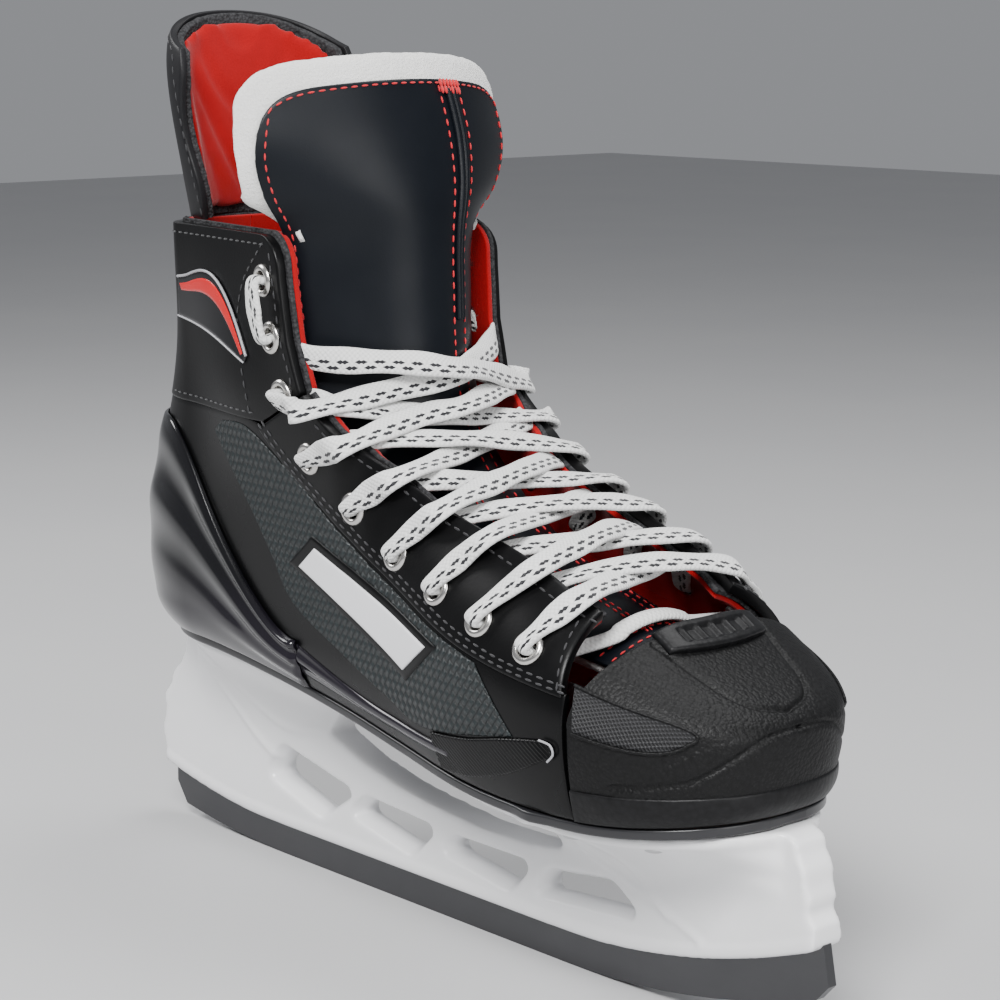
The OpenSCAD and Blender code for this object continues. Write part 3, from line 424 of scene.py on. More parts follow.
class Mat:
    """One procedural material on a Principled shader."""

    def __init__(self, name, **fixed):
        self.m = bpy.data.materials.new(name)
        self.m.use_nodes = True
        self.tree = self.m.node_tree
        self.bsdf = self.tree.nodes["Principled BSDF"]
        for k, v in fixed.items():
            self.bsdf.inputs[k.replace("_", " ")].default_value = v if not isinstance(v, tuple) else (*v,
                1.0)[:4]

    def node(self, kind, settings=None, **inputs):
        n = self.tree.nodes.new(kind)
        for k, v in (settings or {}).items():
            if k == "stops":
                for i, (place, colour) in enumerate(v):
                    e = n.color_ramp.elements[i] if i < 2 else n.color_ramp.elements.new(place)
                    e.position = place
                    e.color = (*colour, 1.0)
            else:
                setattr(n, k, v)
        for k, v in inputs.items():
            socket = n.inputs[k.replace("_", " ")]
            if isinstance(v, Val):
                self.tree.links.new(v.socket, socket)
            else:
                socket.default_value = v
        return n

    def out(self, node, name=0):
        return Val(self.tree, node.outputs[name])

    def coords(self, which="Object", scale=(1, 1, 1)):
        c = self.node("ShaderNodeTexCoord")
        m = self.node("ShaderNodeMapping", Vector=Val(self.tree, c.outputs[which]), Scale=scale)
        return self.out(m)

    def axes(self, vector):
        n = self.node("ShaderNodeSeparateXYZ", Vector=vector)
        return [self.out(n, k) for k in range(3)]

    def noise(self, scale, detail=4.0, roughness=0.55, vector=None):
        n = self.node("ShaderNodeTexNoise", Vector=vector or self.coords(), Scale=scale, Detail=detail,
                      Roughness=roughness)
        return self.out(n, "Fac")

    def cells(self, scale, vector=None, feature="F1", output="Distance"):
        n = self.node("ShaderNodeTexVoronoi", {"feature": feature}, Vector=vector or self.coords(),
                      Scale=scale)
        return self.out(n, output)

    def colour(self, factor, a, b):
        n = self.node("ShaderNodeMix", {"data_type": "RGBA"})
        self.tree.links.new(factor.socket, n.inputs[0])
        for k, v in ((6, a), (7, b)):
            if isinstance(v, Val):
                self.tree.links.new(v.socket, n.inputs[k])
            else:
                n.inputs[k].default_value = (*v, 1.0)
        return Val(self.tree, n.outputs[2])

    def feed(self, **inputs):
        for k, v in inputs.items():
            self.tree.links.new(v.socket, self.bsdf.inputs[k.replace("_", " ")])
        return self

    def bump(self, height, strength=0.5, distance=0.3):
        b = self.node("ShaderNodeBump", Strength=strength, Distance=distance * MM, Height=height)
        return self.feed(Normal=self.out(b))


def leather(name, colour, grain=1100.0, rough=0.36, bump=0.25):
    m = Mat(name, Specular_IOR_Level=0.2)
    cells = m.cells(grain)
    fine = m.noise(grain * 2.2, 3.0)
    wear = m.noise(45.0, 3.0)
    m.feed(Base_Color=m.colour(wear, colour, tuple(c * 1.5 + 0.0004 for c in colour)),
           Roughness=rough - 0.06 + wear * 0.16)
    m.bump(cells * 0.6 + fine * 0.5, bump, 0.12)
    return m.m


def weave_material(name, colour, pitch=3.4):
    """Moulded twill blocks, each a small pillow, in rows that step across each other."""
    m = Mat(name, Specular_IOR_Level=0.5)
    x, _, z = m.axes(m.coords())
    a = (x * 0.62 + z * 0.78) * (1000.0 / pitch)
    b = (z * 0.62 - x * 0.78) * (1000.0 / (pitch * 0.62))
    row = b.floor()
    shift = a + row * 0.5
    u = (shift.fract() - 0.5).abs()
    v = (b.fract() - 0.5).abs()
    pillow = (1.0 - u * 2.0).max(0.0).power(0.45) * (1.0 - v * 2.0).max(0.0).power(0.4)
    wear = m.noise(70.0, 3.0)
    # Colour drops to 0.3 of the weave colour between the pillows: painted shade in the grooves between the
    # blocks.
    m.feed(Base_Color=m.colour(pillow, tuple(c * 0.3 for c in colour), colour), Roughness=0.5 - pillow
           * 0.22 + wear * 0.1)
    m.bump(pillow + wear * 0.05, 1.0, 1.0)
    return m.m


def gloss_material(name, colour, rough=0.14, painted_sheen_tint=None):
    m = Mat(name, Coat_Weight=0.35, Coat_Roughness=0.08, Specular_IOR_Level=0.35)
    dust = m.noise(120.0, 5.0)
    if painted_sheen_tint:
        # Purple painted sheen, blended in by height below 98 mm and full towards the bottom.
        _, _, z = m.axes(m.coords())
        low = ((0.098 - z) * 45.0).max(0.0).min(1.0)
        m.feed(Base_Color=m.colour(low, colour, painted_sheen_tint))
    else:
        m.feed(Base_Color=m.colour(dust, colour, tuple(c * 1.25 + 0.002 for c in colour)))
    m.feed(Roughness=rough + dust * 0.12)
    m.bump(m.noise(60.0, 2.0), 0.06, 0.4)
    return m.m


def pebble_material(name, colour, scale=900.0, rough=0.5, strength=0.6):
    m = Mat(name, Specular_IOR_Level=0.22)
    a = m.cells(scale)
    b = m.cells(scale * 1.9)
    wear = m.noise(50.0, 4.0)
    # Pebble tops are painted lighter (1.6 times) and the creases between them darker (0.55 times): painted
    # light and painted shade that follow the bump.
    m.feed(Base_Color=m.colour(a, tuple(c * 1.6 for c in colour), tuple(c * 0.55 for c in colour)),
           Roughness=rough - 0.08 + wear * 0.16)
    m.bump(-a * 1.0 - b * 0.35, strength, 0.35)
    return m.m


def mesh_material(name, colour):
    m = Mat(name, Specular_IOR_Level=0.4)
    x, y, z = m.axes(m.coords())
    a = (((x + y) * 2300.0 + z * 1500.0).sin() * ((z * 2700.0 - (x - y) * 1100.0).sin())).abs()
    # Raised threads are painted lighter (2.2 times) and the hollows of the mesh darker (0.25 times): painted
    # light and painted shade that follow the bump.
    m.feed(Base_Color=m.colour(a, tuple(c * 2.2 for c in colour), tuple(c * 0.25 for c in colour)),
           Roughness=0.45 + a * 0.3)
    m.bump(1.0 - a, 0.9, 0.4)
    return m.m


def cloth_material(name, colour, dark, scale=1600.0, sheen=0.35, strength=0.5, distance=0.35):
    m = Mat(name, Sheen_Weight=sheen, Sheen_Roughness=0.4, Specular_IOR_Level=0.2)
    fibre = m.noise(scale, 6.0, 0.65)
    blotch = m.noise(55.0, 3.0)
    mixed = fibre * 0.65 + blotch * 0.45
    m.feed(Base_Color=m.colour(mixed, dark, colour), Roughness=0.82 + blotch * 0.12)
    m.bump(fibre + m.noise(scale * 0.25, 3.0) * 0.6, strength, distance)
    return m.m


def lace_material():
    """Flat braid with two rows of dark dashes; the map runs along and across the lace."""
    m = Mat("braided_lace", Sheen_Weight=0.25, Sheen_Roughness=0.5, Specular_IOR_Level=0.25)
    uv = m.node("ShaderNodeUVMap", {"uv_map": "UVMap"})
    u, v, _ = m.axes(m.out(uv))
    along = u * 10.0
    lane = ((v * 2.0).fract() - 0.5).abs()
    plait = (((along / 1.5 + lane * 2.4) * math.pi).sin().abs() + ((along / 1.5 - lane * 2.4)
                                                                   * math.pi).sin().abs()) * 0.5
    near = (v - 0.58).abs()
    far = (v - 0.80).abs()
    pace = along / 5.2
    dash = ((near + ((pace.fract() - 0.5).abs() - 0.12).abs() * 0.35) < 0.085) + \
        ((far + (((pace + 0.5).fract() - 0.5).abs() - 0.12).abs() * 0.35) < 0.085)
    fuzz = m.noise(2600.0, 4.0)
    # The white darkens to 0.62 where the plait sinks: painted shade in the braid's grooves, mixed with random
    # fuzz tone. The dark dashes are the lace's own tracers.
    m.feed(Base_Color=m.colour(dash.min(1.0), m.colour(fuzz * plait, (0.62, 0.62, 0.61),
                                                       (0.93, 0.93, 0.92)), (0.015, 0.015, 0.018)),
           Roughness=0.78 + fuzz * 0.15)
    m.bump(plait + fuzz * 0.6, 0.7, 0.35)
    return m.m


def metal_material(name, colour, rough, grain=(40, 900, 900), bump=0.15):
    m = Mat(name, Metallic=1.0)
    streak = m.noise(1.0, 5.0, 0.7, m.coords(scale=grain))
    stain = m.noise(35.0, 4.0)
    m.feed(Base_Color=m.colour(stain, tuple(c * 0.82 for c in colour), colour), Roughness=rough + streak
           * 0.16 - 0.05)
    m.bump(streak, bump, 0.05)
    return m.m


def plastic_material(name, colour, rough=0.26):
    m = Mat(name, Coat_Weight=0.25, Coat_Roughness=0.12, Specular_IOR_Level=0.5, Subsurface_Weight=0.0)
    stain = m.noise(30.0, 4.0)
    fine = m.noise(500.0, 3.0)
    m.feed(Base_Color=m.colour(stain, tuple(c * 0.955 for c in colour), colour), Roughness=rough + fine
           * 0.08)
    m.bump(m.noise(90.0, 2.0), 0.05, 0.3)
    return m.m


def thread_material(name, colour):
    m = Mat(name, Sheen_Weight=0.2, Specular_IOR_Level=0.3)
    twist = m.noise(3000.0, 2.0)
    m.feed(Base_Color=m.colour(twist, tuple(c * 0.6 for c in colour), colour), Roughness=0.6 + twist * 0.2)
    m.bump(twist, 0.4, 0.1)
    return m.m


def foam_material():
    m = Mat("foam_edge", Specular_IOR_Level=0.25)
    x, _, z = m.axes(m.coords())
    bubbles = m.cells(1100.0)
    wave = ((z + x * 0.4) * 1500.0).sin() * 0.5 + 0.5
    m.feed(Base_Color=m.colour(bubbles, (0.045, 0.045, 0.048), (0.012, 0.012, 0.013)), Roughness=0.75
           + bubbles * 0.2)
    m.bump(bubbles + wave * 0.5, 0.8, 0.5)
    return m.m


MATERIALS = {}


def mat(name):
    return MATERIALS[name]


def make_materials(colours):
    MATERIALS.update({
        "steel": metal_material("runner_steel", colours.steel[:], 0.34),
        "zinc": metal_material("zinc_plate", (0.62, 0.62, 0.63), 0.3, (300, 300, 300)),
        "nickel": metal_material("nickel_plate", (0.72, 0.70, 0.67), 0.2, (400, 400, 400), 0.08),
        "holder": plastic_material("holder_white", colours.holder[:]),
        "leather": leather("coated_black", colours.black[:], 1250.0, 0.30, 0.16),
        "weave": weave_material("moulded_weave", colours.weave[:]),
        "smooth": leather("smooth_black", tuple(c * 0.8 for c in colours.black), 1500.0, 0.26, 0.12),
        # The counter gloss's last colour is a purple painted sheen towards the bottom.
        "gloss": gloss_material("counter_gloss", (0.003, 0.003, 0.004), 0.14, (0.010, 0.008, 0.013)),
        "toe": pebble_material("toe_pebble", (0.0035, 0.0035, 0.0037)),
        "rubber": pebble_material("rand_rubber", (0.005, 0.005, 0.0055), 600.0, 0.42, 0.2),
        "mesh": mesh_material("inset_mesh", (0.012, 0.012, 0.013)),
        "red": cloth_material("red_microfibre", colours.red[:], tuple(c * 0.55 for c in colours.red),
                              2200.0, 0.2, 0.4, 0.25),
        "felt": cloth_material("white_felt", (0.9, 0.9, 0.88), (0.66, 0.65, 0.63), 1300.0, 0.5, 0.9, 0.6),
        "lace": lace_material(),
        "tip": plastic_material("lace_tip", (0.75, 0.75, 0.76), 0.15),
        "tongue": leather("tongue_leather", colours.tongue[:], 1800.0, 0.36, 0.14),
        "guard": leather("guard_black", (0.008, 0.008, 0.009), 1200.0, 0.42, 0.2),
        "foam": foam_material(),
        "plate": plastic_material("plate_white", (0.80, 0.80, 0.82), 0.2),
        "badge_red": gloss_material("badge_red", (0.55, 0.008, 0.01), 0.2),
        "badge_white": plastic_material("badge_outline", (0.36, 0.36, 0.38), 0.3),
        "thread_red": thread_material("thread_red", (0.7, 0.01, 0.02)),
        "thread_dark": thread_material("thread_dark", (0.035, 0.035, 0.038)),
        "board": cloth_material("fibre_board", (0.34, 0.28, 0.21), (0.2, 0.16, 0.12), 700.0, 0.0),
        "footbed": cloth_material("footbed_cloth", (0.1, 0.1, 0.11), (0.04, 0.04, 0.045), 1500.0, 0.2),
        "outsole": plastic_material("outsole_black", (0.012, 0.012, 0.014), 0.33),
    })


# ---------------------------------------------------------------- geometry node trees
def group(name, sockets):
    g = bpy.data.node_groups.new(name, "GeometryNodeTree")
    g.interface.new_socket("Geometry", in_out="INPUT", socket_type="NodeSocketGeometry")
    for label, kind, value in sockets:
        s = g.interface.new_socket(label, in_out="INPUT", socket_type=kind)
        if value is not None:
            s.default_value = value
    g.interface.new_socket("Geometry", in_out="OUTPUT", socket_type="NodeSocketGeometry")
    return g


def wire(g, kind, inputs=None, **settings):
    n = g.nodes.new(kind)
    for k, v in settings.items():
        setattr(n, k, v)
    for k, v in (inputs or {}).items():
        if isinstance(v, bpy.types.NodeSocket):
            g.links.new(v, n.inputs[k])
        else:
            n.inputs[k].default_value = v
    return n


def stitch_tree():
    """Rounded stitches along curves, sized and spaced by inputs."""
    g = group("StitchRow", [("Length", "NodeSocketFloat", 0.0026), ("Gap", "NodeSocketFloat", 0.0012),
                            ("Thickness", "NodeSocketFloat", 0.0006), ("Thread", "NodeSocketMaterial", None)])
    inp, out = g.nodes.new("NodeGroupInput"), g.nodes.new("NodeGroupOutput")
    path = wire(g, "GeometryNodeMeshToCurve", {0: inp.outputs["Geometry"]})
    pitch = wire(g, "ShaderNodeMath", {0: inp.outputs["Length"], 1: inp.outputs["Gap"]}, operation="ADD")
    even = wire(g, "GeometryNodeResampleCurve", {"Curve": path.outputs[0], "Length": pitch.outputs[0]},
                mode="LENGTH")
    points = wire(g, "GeometryNodeCurveToPoints", {0: even.outputs[0]}, mode="EVALUATED")
    one = wire(g, "GeometryNodeMeshUVSphere", {"Segments": 6, "Rings": 5, "Radius": 0.5})
    size = wire(g, "ShaderNodeCombineXYZ", {0: inp.outputs["Thickness"], 1: inp.outputs["Thickness"],
                                            2: inp.outputs["Length"]})
    put = wire(g, "GeometryNodeInstanceOnPoints", {"Points": points.outputs["Points"],
                                                   "Instance": one.outputs[0],
                                                   "Rotation": points.outputs["Rotation"],
                                                   "Scale": size.outputs[0]})
    real = wire(g, "GeometryNodeRealizeInstances", {0: put.outputs[0]})
    soft = wire(g, "GeometryNodeSetShadeSmooth", {0: real.outputs[0]})
    done = wire(g, "GeometryNodeSetMaterial", {0: soft.outputs[0], 2: inp.outputs["Thread"]})
    g.links.new(done.outputs[0], out.inputs[0])
    return g


def stud_tree():
    """A turned stud or ring on every point, standing along the point's own direction."""
    g = group("StudField", [("Part", "NodeSocketObject", None), ("Finish", "NodeSocketMaterial", None)])
    inp, out = g.nodes.new("NodeGroupInput"), g.nodes.new("NodeGroupOutput")
    info = wire(g, "GeometryNodeObjectInfo", {"Object": inp.outputs["Part"]})
    way = wire(g, "GeometryNodeInputNamedAttribute", {"Name": "way"}, data_type="FLOAT_VECTOR")
    turn = wire(g, "FunctionNodeAlignRotationToVector", {"Vector": way.outputs[0]}, axis="Z")
    put = wire(g, "GeometryNodeInstanceOnPoints", {"Points": inp.outputs["Geometry"],
                                                   "Instance": info.outputs["Geometry"],
                                                   "Rotation": turn.outputs[0]})
    real = wire(g, "GeometryNodeRealizeInstances", {0: put.outputs[0]})
    done = wire(g, "GeometryNodeSetMaterial", {0: real.outputs[0], 2: inp.outputs["Finish"]})
    g.links.new(done.outputs[0], out.inputs[0])
    return g


TREES = {}


def run_tree(obj, tree, **values):
    if tree not in TREES:
        TREES[tree] = {"stitch": stitch_tree, "stud": stud_tree}[tree]()
    mod = obj.modifiers.new(tree, "NODES")
    mod.node_group = TREES[tree]
    ids = {s.name: s.identifier for s in TREES[tree].interface.items_tree if s.in_out == "INPUT"}
    for k, v in values.items():
        mod[ids[k]] = v
    return apply_modifiers(obj)


def stitches(name, lines, thread, length=2.4, gap=1.3, thick=0.62):
    """Rows of stitches along lists of points, as one piece."""
    verts, edges = [], []
    for line in lines:
        base = len(verts)
        verts += [tuple(p) for p in np.asarray(line) * MM]
        edges += [(base + k, base + k + 1) for k in range(len(line) - 1)]
    mesh = bpy.data.meshes.new(name)
    mesh.from_pydata(verts, edges, [])
    obj = bpy.data.objects.new(name, mesh)
    bpy.context.scene.collection.objects.link(obj)
    return run_tree(obj, "stitch", Length=length * MM, Gap=gap * MM, Thickness=thick * MM, Thread=mat(thread))


def studs(name, places, ways, part, finish):
    mesh = bpy.data.meshes.new(name)
    mesh.from_pydata([tuple(p) for p in np.asarray(places) * MM], [], [])
    attribute = mesh.attributes.new("way", "FLOAT_VECTOR", "POINT")
    attribute.data.foreach_set("vector", np.asarray(ways, np.float32).ravel())
    obj = bpy.data.objects.new(name, mesh)
    bpy.context.scene.collection.objects.link(obj)
    run_tree(obj, "stud", Part=part, Finish=mat(finish))
    bpy.data.objects.remove(part)
    return obj


def turned(name, profile, steps=40):
    """Ring or stud turned about Z from a closed outline of [radius, height]."""
    ang = np.linspace(0, 2 * math.pi, steps, endpoint=False)
    verts = [(r * math.cos(a), r * math.sin(a), h) for a in ang for r, h in profile]
    k = len(profile)
    faces = [[i * k + j, ((i + 1) % steps) * k + j, ((i + 1) % steps) * k + (j + 1) % k, i * k + (j + 1) % k]
             for i in range(steps) for j in range(k)]
    return new_object(name, verts, faces, mat("nickel"))


# ---------------------------------------------------------------- boot panels
QUARTER_FRONT = 90.8
CAP_REAR, CAP_TOP_REAR = 92.0, 99.0
CUFF_LOW = 147.0


def facing_seam(x):
    return curve([(-90, 146.5), (-60, 146.5)] + SEAM, x)


def side_name(s):
    return "lateral" if s < 0 else "medial"


def rear_fixed(P, N):
    """Normals of a wrapped grid, with the rear's own column looking straight back."""
    N = facing_out(P, N)
    N[0, :, 1] = 0
    return N / np.linalg.norm(N, axis=-1, keepdims=True)


def quarter_shell(s):
    U, V = spaced(110, 250, 0.6), spaced(46, 75, 0.6)
    P = wrapped_grid(s, QUARTER_FRONT, lambda x: sole_z(x) + 0.3, lambda x: facing_seam(x) + 1.2, U, V)
    return shell("quarter_skin_" + side_name(s), P, rear_fixed(P, grid_normals(P)), 0.0, SHELL, mat("smooth"))


def panel_on_side(name, s, low, high, material, out, depth=-0.05, n=60, m=24, rim=0.5, relief=None):
    P, N = panel_between(s, low, high, spaced(n, 60, rim), spaced(m, 20, rim))
    N = facing_out(P, N)
    height = out if relief is None else out + relief(P)
    return shell(name, P, N, height, depth, material, rim, 0.15)


def weave_patch(s, lift):
    """Moulded weave on the quarter, between the counter's ridges and the facing's seam."""
    low = [(-70, 141), (-56, 124), (-42.5, 107.5), (-31, 94.5), (-6, 84.5), (14, 77.5), (34, 72.5), (74, 79)]
    high = [(-64, 144.5), (-49, 144.5), (-33, 135.5), (-14, 123), (6, 112.5), (22, 106), (38, 100.5),
            (58, 95.5)]

    return panel_on_side("weave_" + side_name(s), s, low, high, mat("weave"), lift, n=120, m=40, rim=0.4)


def heel_ridges():
    """Glossy counter with raised ribs that sweep from the ankle down to the middle of the sole."""
    U = np.linspace(-1, 1, 181)
    V = spaced(90, 60, 0.9)
    front = -30.0
    x0 = rear_x(100) + (front - rear_x(100)) * (1 - np.cos(math.pi / 2 * np.abs(U)))
    low = sole_z(x0) + 0.3
    high = mix(141, 84, ease((x0 + 112) / 82))
    z = mix(low[:, None], high[:, None], V[None])
    r = rear_x(z)
    x = r + (front - r) * (1 - np.cos(math.pi / 2 * np.abs(U)))[:, None]
    P = side_xyz(1, x, z)
    P[..., 1] *= np.sign(U)[:, None]
    N = facing_out(P, grid_normals(P))
    t = V[None] + 0 * x
    away = ease((np.abs(U)[:, None] - 0.12) / 0.3)
    ribs = sum(h * np.exp(-np.abs((t - c) / w) ** 2.2) for c, w, h in
               ((0.30, 0.10, 0.8), (0.60, 0.11, 1.2), (0.915, 0.085, 1.5)))
    out = 1.2 + ribs * away * (0.5 + 0.5 * ease((138 - z) / 30))
    piece = shell("heel_counter_moulding", P, N, out, -0.3, mat("gloss"), 0.9, 0.2)
    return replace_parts(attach(piece, "root"), "heel_counter")


def lower_ribs(s):
    """Two ribs that run on from the counter along the foot of the quarter."""
    low = [(-30, 74), (0, 69), (24, 66.5), (46, 66)]
    high = [(-30, 83), (0, 74), (24, 70.5), (46, 69.5)]
    a = panel_on_side("foot_rib_" + side_name(s), s, low, high, mat("gloss"), 0.3, n=60, m=18, rim=0.7,
                      relief=lambda P: 1.0
                      * np.exp(-((P[..., 2] - curve([(-30, 79), (0, 72), (24, 69), (46, 68)],
                                                    P[..., 0])) / 1.6) ** 2))
    return a


def facing_panel(s, name, material, out, depth, grow=0.0, deeper=0.0, rim=0.6, until=1.0):
    low, high = [p for p in SEAM], [p for p in THROAT[3:]]
    U, V = spaced(90, 150, rim), spaced(24, 22, rim)
    a, b = spline(low, U * until * (len(low) - 1)), spline(high, U * until * (len(high) - 1))
    span = np.linalg.norm(b - a, axis=1, keepdims=True)
    b = b + (b - a) / span * grow
    a = a + (b - a) / span * deeper
    p = mix(a[:, None], b[:, None], V[None, :, None])
    P, N = side_xyz(s, p[..., 0], p[..., 1]), side_normal(s, p[..., 0], p[..., 1])
    return shell(name, P, facing_out(P, N), out, depth, material, rim, 0.3)


def cuff_front(z):
    return np.interp(z, [147, 157, 172, 188, COLLAR], [-39.5, -20.4, -25, -27, -28])


def cuff_panel(s, name, material, out, depth, grow=0.0, low=CUFF_LOW, u0=0.0, rim=0.7):
    U, V = spaced(80, 100, rim), spaced(40, 54, rim)
    top = COLLAR + grow
    z = mix(low, top, V)[None] + 0 * U[:, None]
    corner = 9.0
    back = np.maximum(z - (top - corner), 0)
    f = cuff_front(np.minimum(z, COLLAR)) + grow - (corner - np.sqrt(np.maximum(corner ** 2 - back ** 2, 0)))
    r = rear_x(z)
    x = r + (f - r) * (1 - np.cos(math.pi / 2 * mix(u0, 1, U)))[:, None]
    P = side_xyz(s, x, z)
    return shell(name, P, rear_fixed(P, grid_normals(P)), out, depth, material, rim, 0.4)


def cut_holes(obj, s, eyelets, radius):
    """Eyelet holes through a panel."""
    parts = []
    for e in eyelets:
        c, n = side_xyz(s, *e), side_normal(s, *e)
        parts.append(tube("hole", [c - n * 9, c + n * 6], radius, 28, mat("smooth"),
                          normal=np.array([0.3, 0.1, 0.9])))
    cutter = join("holes", parts)
    mod = obj.modifiers.new("holes", "BOOLEAN")
    mod.operation, mod.solver, mod.object = "DIFFERENCE", "EXACT", cutter
    apply_modifiers(obj)
    bpy.data.objects.remove(cutter)
    return obj


def side_line(s, points, lift, n=120):
    """Line on the boot's side through [x, z] points, a height over the surface."""
    p = spline(points, np.linspace(0, len(points) - 1, n))
    P, N = side_xyz(s, p[:, 0], p[:, 1]), side_normal(s, p[:, 0], p[:, 1])
    return P + facing_out(P, N) * lift


def shift(points, dx, dz):
    return [(x + dx, z + dz) for x, z in points]


def label_plate(s):
    corners = [(-27, 106.5), (26, 87), (37, 95.5), (-19, 113)]
    low, high = [corners[0], corners[1]], [corners[3], corners[2]]
    white = panel_on_side("plate_face", s, low, high, mat("plate"), 1.25, -0.3, 40, 14, 0.35)
    frame_low, frame_high = [(-33, 106.5), (27, 84)], [(-20.5, 116.5), (42, 96.5)]
    dark = panel_on_side("plate_frame", s, frame_low, frame_high, mat("smooth"), 0.75, -0.1, 40, 14, 0.7)
    piece = join("blank_plate_" + side_name(s), [white, dark])
    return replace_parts(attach(piece, "root"), "label_plate_" + side_name(s))


def badge(s):
    """Plain teardrop badge: dark field, red arc and pale outline."""
    t = np.linspace(0, 1, 9)
    low = [(mix(-90, -47, k), mix(173, 163.5, k) + 1.5 * math.sin(math.pi * k)) for k in t]
    high = [(mix(-88, -45.5, k), mix(185, 165.5, k) + 12.5 * math.sin(math.pi * k ** 1.2)) for k in t]
    inner = [(mix(-87, -47.5, k), mix(183, 166, k) + 11 * math.sin(math.pi * k ** 1.2)) for k in t]
    inner_low = [(mix(-86, -48.5, k), mix(181, 165.5, k) + 7.2 * math.sin(math.pi * k ** 1.15)) for k in t]
    field = panel_on_side("field", s, low, high, mat("gloss"), 1.0, -0.2, 60, 20, 0.4)
    arc_red = panel_on_side("arc", s, inner_low, inner, mat("badge_red"), 1.25, -0.9, 60, 8, 0.15)
    rim = tube("outline", side_line(s, high, 1.05), 0.42, 8, mat("badge_white"))
    base = tube("outline_low", side_line(s, low, 1.05), 0.3, 8, mat("badge_white"))
    piece = join("ankle_badge_piece_" + side_name(s), [field, arc_red, rim, base])
    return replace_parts(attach(piece, "root"), "ankle_badge_" + side_name(s))


def emblem(s):
    low = [(40, 62.5), (54, 63.5), (70, 68), (84, 74.5), (88.3, 76.8)]
    high = [(38, 72.5), (54, 74.5), (70, 78), (84, 80.2), (88.3, 79)]
    body = panel_on_side("body", s, low, high, mat("smooth"), 1.1, -0.2, 160, 30, 0.7,
                         lambda P: 0.14 * np.sin(P[..., 0] * 3.4 + P[..., 2] * 4.6))
    tip = tube("tip", side_line(s, [(84.5, 80.6), (88.0, 79.9), (88.8, 77.6), (86.8, 75.3)], 1.3, 30), 0.32,
               8,
               mat("badge_white"))
    piece = join("side_emblem_piece_" + side_name(s), [body, tip])
    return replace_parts(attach(piece, "root"), "side_emblem_" + side_name(s))


def boot_side(s, sizes):
    name = side_name(s)
    quarter = quarter_shell(s)
    weave = weave_patch(s, sizes.weave_lift)
    rib = lower_ribs(s)
    q = join("quarter_" + name + "_shell", [quarter, weave, rib])
    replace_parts(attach(q, "root"), "quarter_" + name)
    f = cut_holes(facing_panel(s, "facing_" + name + "_leather", mat("leather"), 0.8, SHELL), s,
                  EYELETS[3:], 3.3)
    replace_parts(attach(f, "root"), "facing_" + name)
    c = cut_holes(cuff_panel(s, "cuff_" + name + "_leather", mat("leather"), 0.35, SHELL), s, EYELETS[:3],
                  3.3)
    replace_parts(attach(c, "root"), "cuff_" + name)
    foam = join("foam_edge_" + name, [
        cut_holes(facing_panel(s, "a", mat("foam"), -SHELL - 0.05, 4.0, 1.0, 1.0, 0.5, 0.975), s,
                  EYELETS[3:], 3.2),
        cut_holes(cuff_panel(s, "b", mat("foam"), -SHELL - 0.05, 4.0, 1.1, 149, rim=0.5), s, EYELETS[:3],
                  3.2)])
    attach(foam, "root")
    U, V = spaced(90, 250, 0.5), spaced(30, 75, 0.5)
    P = wrapped_grid(s, QUARTER_FRONT - 4, lambda x: sole_z(x) + 2.8, lambda x: facing_seam(x) + 2, U, V)
    red = join("lining_" + name, [
        shell("a", P, rear_fixed(P, grid_normals(P)), -3.1, 5.6, mat("red"), 0.3, 0.5),
        cut_holes(facing_panel(s, "b", mat("red"), -4.05, 5.7, 0.6, 1.0, 0.4, 0.965), s, EYELETS[3:], 3.2),
        cut_holes(cuff_panel(s, "c", mat("red"), -4.05, 5.9, 0.7, 146, rim=0.5), s, EYELETS[:3], 3.2)])
    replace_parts(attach(red, "root"), "liner_" + name)
    label_plate(s)
    badge(s)
    emblem(s)
    return q


def ankle_padding(s):
    """Stuffed pad over the ankle bone, puffed by a cloth simulation."""
    U, V = np.linspace(0, 1, 20), np.linspace(0, 1, 20)
    x, z = np.meshgrid(mix(-93, -57, U), mix(129, 171, V), indexing="ij")
    P = side_xyz(s, x, z)
    N = facing_out(P, side_normal(s, x, z))
    crown = (np.sin(math.pi * U)[:, None] * np.sin(math.pi * V)[None]) ** 0.5
    piece = shell("ankle_padding_" + side_name(s), P, N, -6.1, 6.6 + 3.0 * crown, mat("red"), 0.2, 0.2)
    puff(piece, 4.5, 1.5)
    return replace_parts(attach(piece, "root"), "ankle_pad_" + side_name(s))


def puff(obj, voxel, reach, pressure=4.0):
    """Fills a soft piece: an even net, cloth under pressure, held to a reach and then subdivided."""
    remesh = obj.modifiers.new("net", "REMESH")
    remesh.mode, remesh.voxel_size = "VOXEL", voxel * MM * 0.45
    material = obj.data.materials[0]
    apply_modifiers(obj)
    start = np.array([v.co for v in obj.data.vertices])
    cloth = obj.modifiers.new("cloth", "CLOTH")
    cloth.settings.use_pressure = True
    cloth.settings.uniform_pressure_force = pressure
    cloth.settings.effector_weights.gravity = 0
    cloth.settings.tension_stiffness = cloth.settings.compression_stiffness = 40
    cloth.point_cache.frame_start, cloth.point_cache.frame_end = 1, 12
    scene = bpy.context.scene
    for f in range(1, 13):
        scene.frame_set(f)
    apply_modifiers(obj)
    now = np.array([v.co for v in obj.data.vertices])
    move = now - start
    size = np.linalg.norm(move, axis=1, keepdims=True)
    kept = start + move * np.minimum(1, reach * MM / np.maximum(size, 1e-9))
    obj.data.vertices.foreach_set("co", kept.ravel())
    scene.frame_set(1)
    sub = obj.modifiers.new("smooth", "SUBSURF")
    sub.levels = sub.render_levels = 1
    apply_modifiers(obj)
    obj.data.materials.clear()
    obj.data.materials.append(material)
    obj.data.polygons.foreach_set("use_smooth", [True] * len(obj.data.polygons))
    return obj


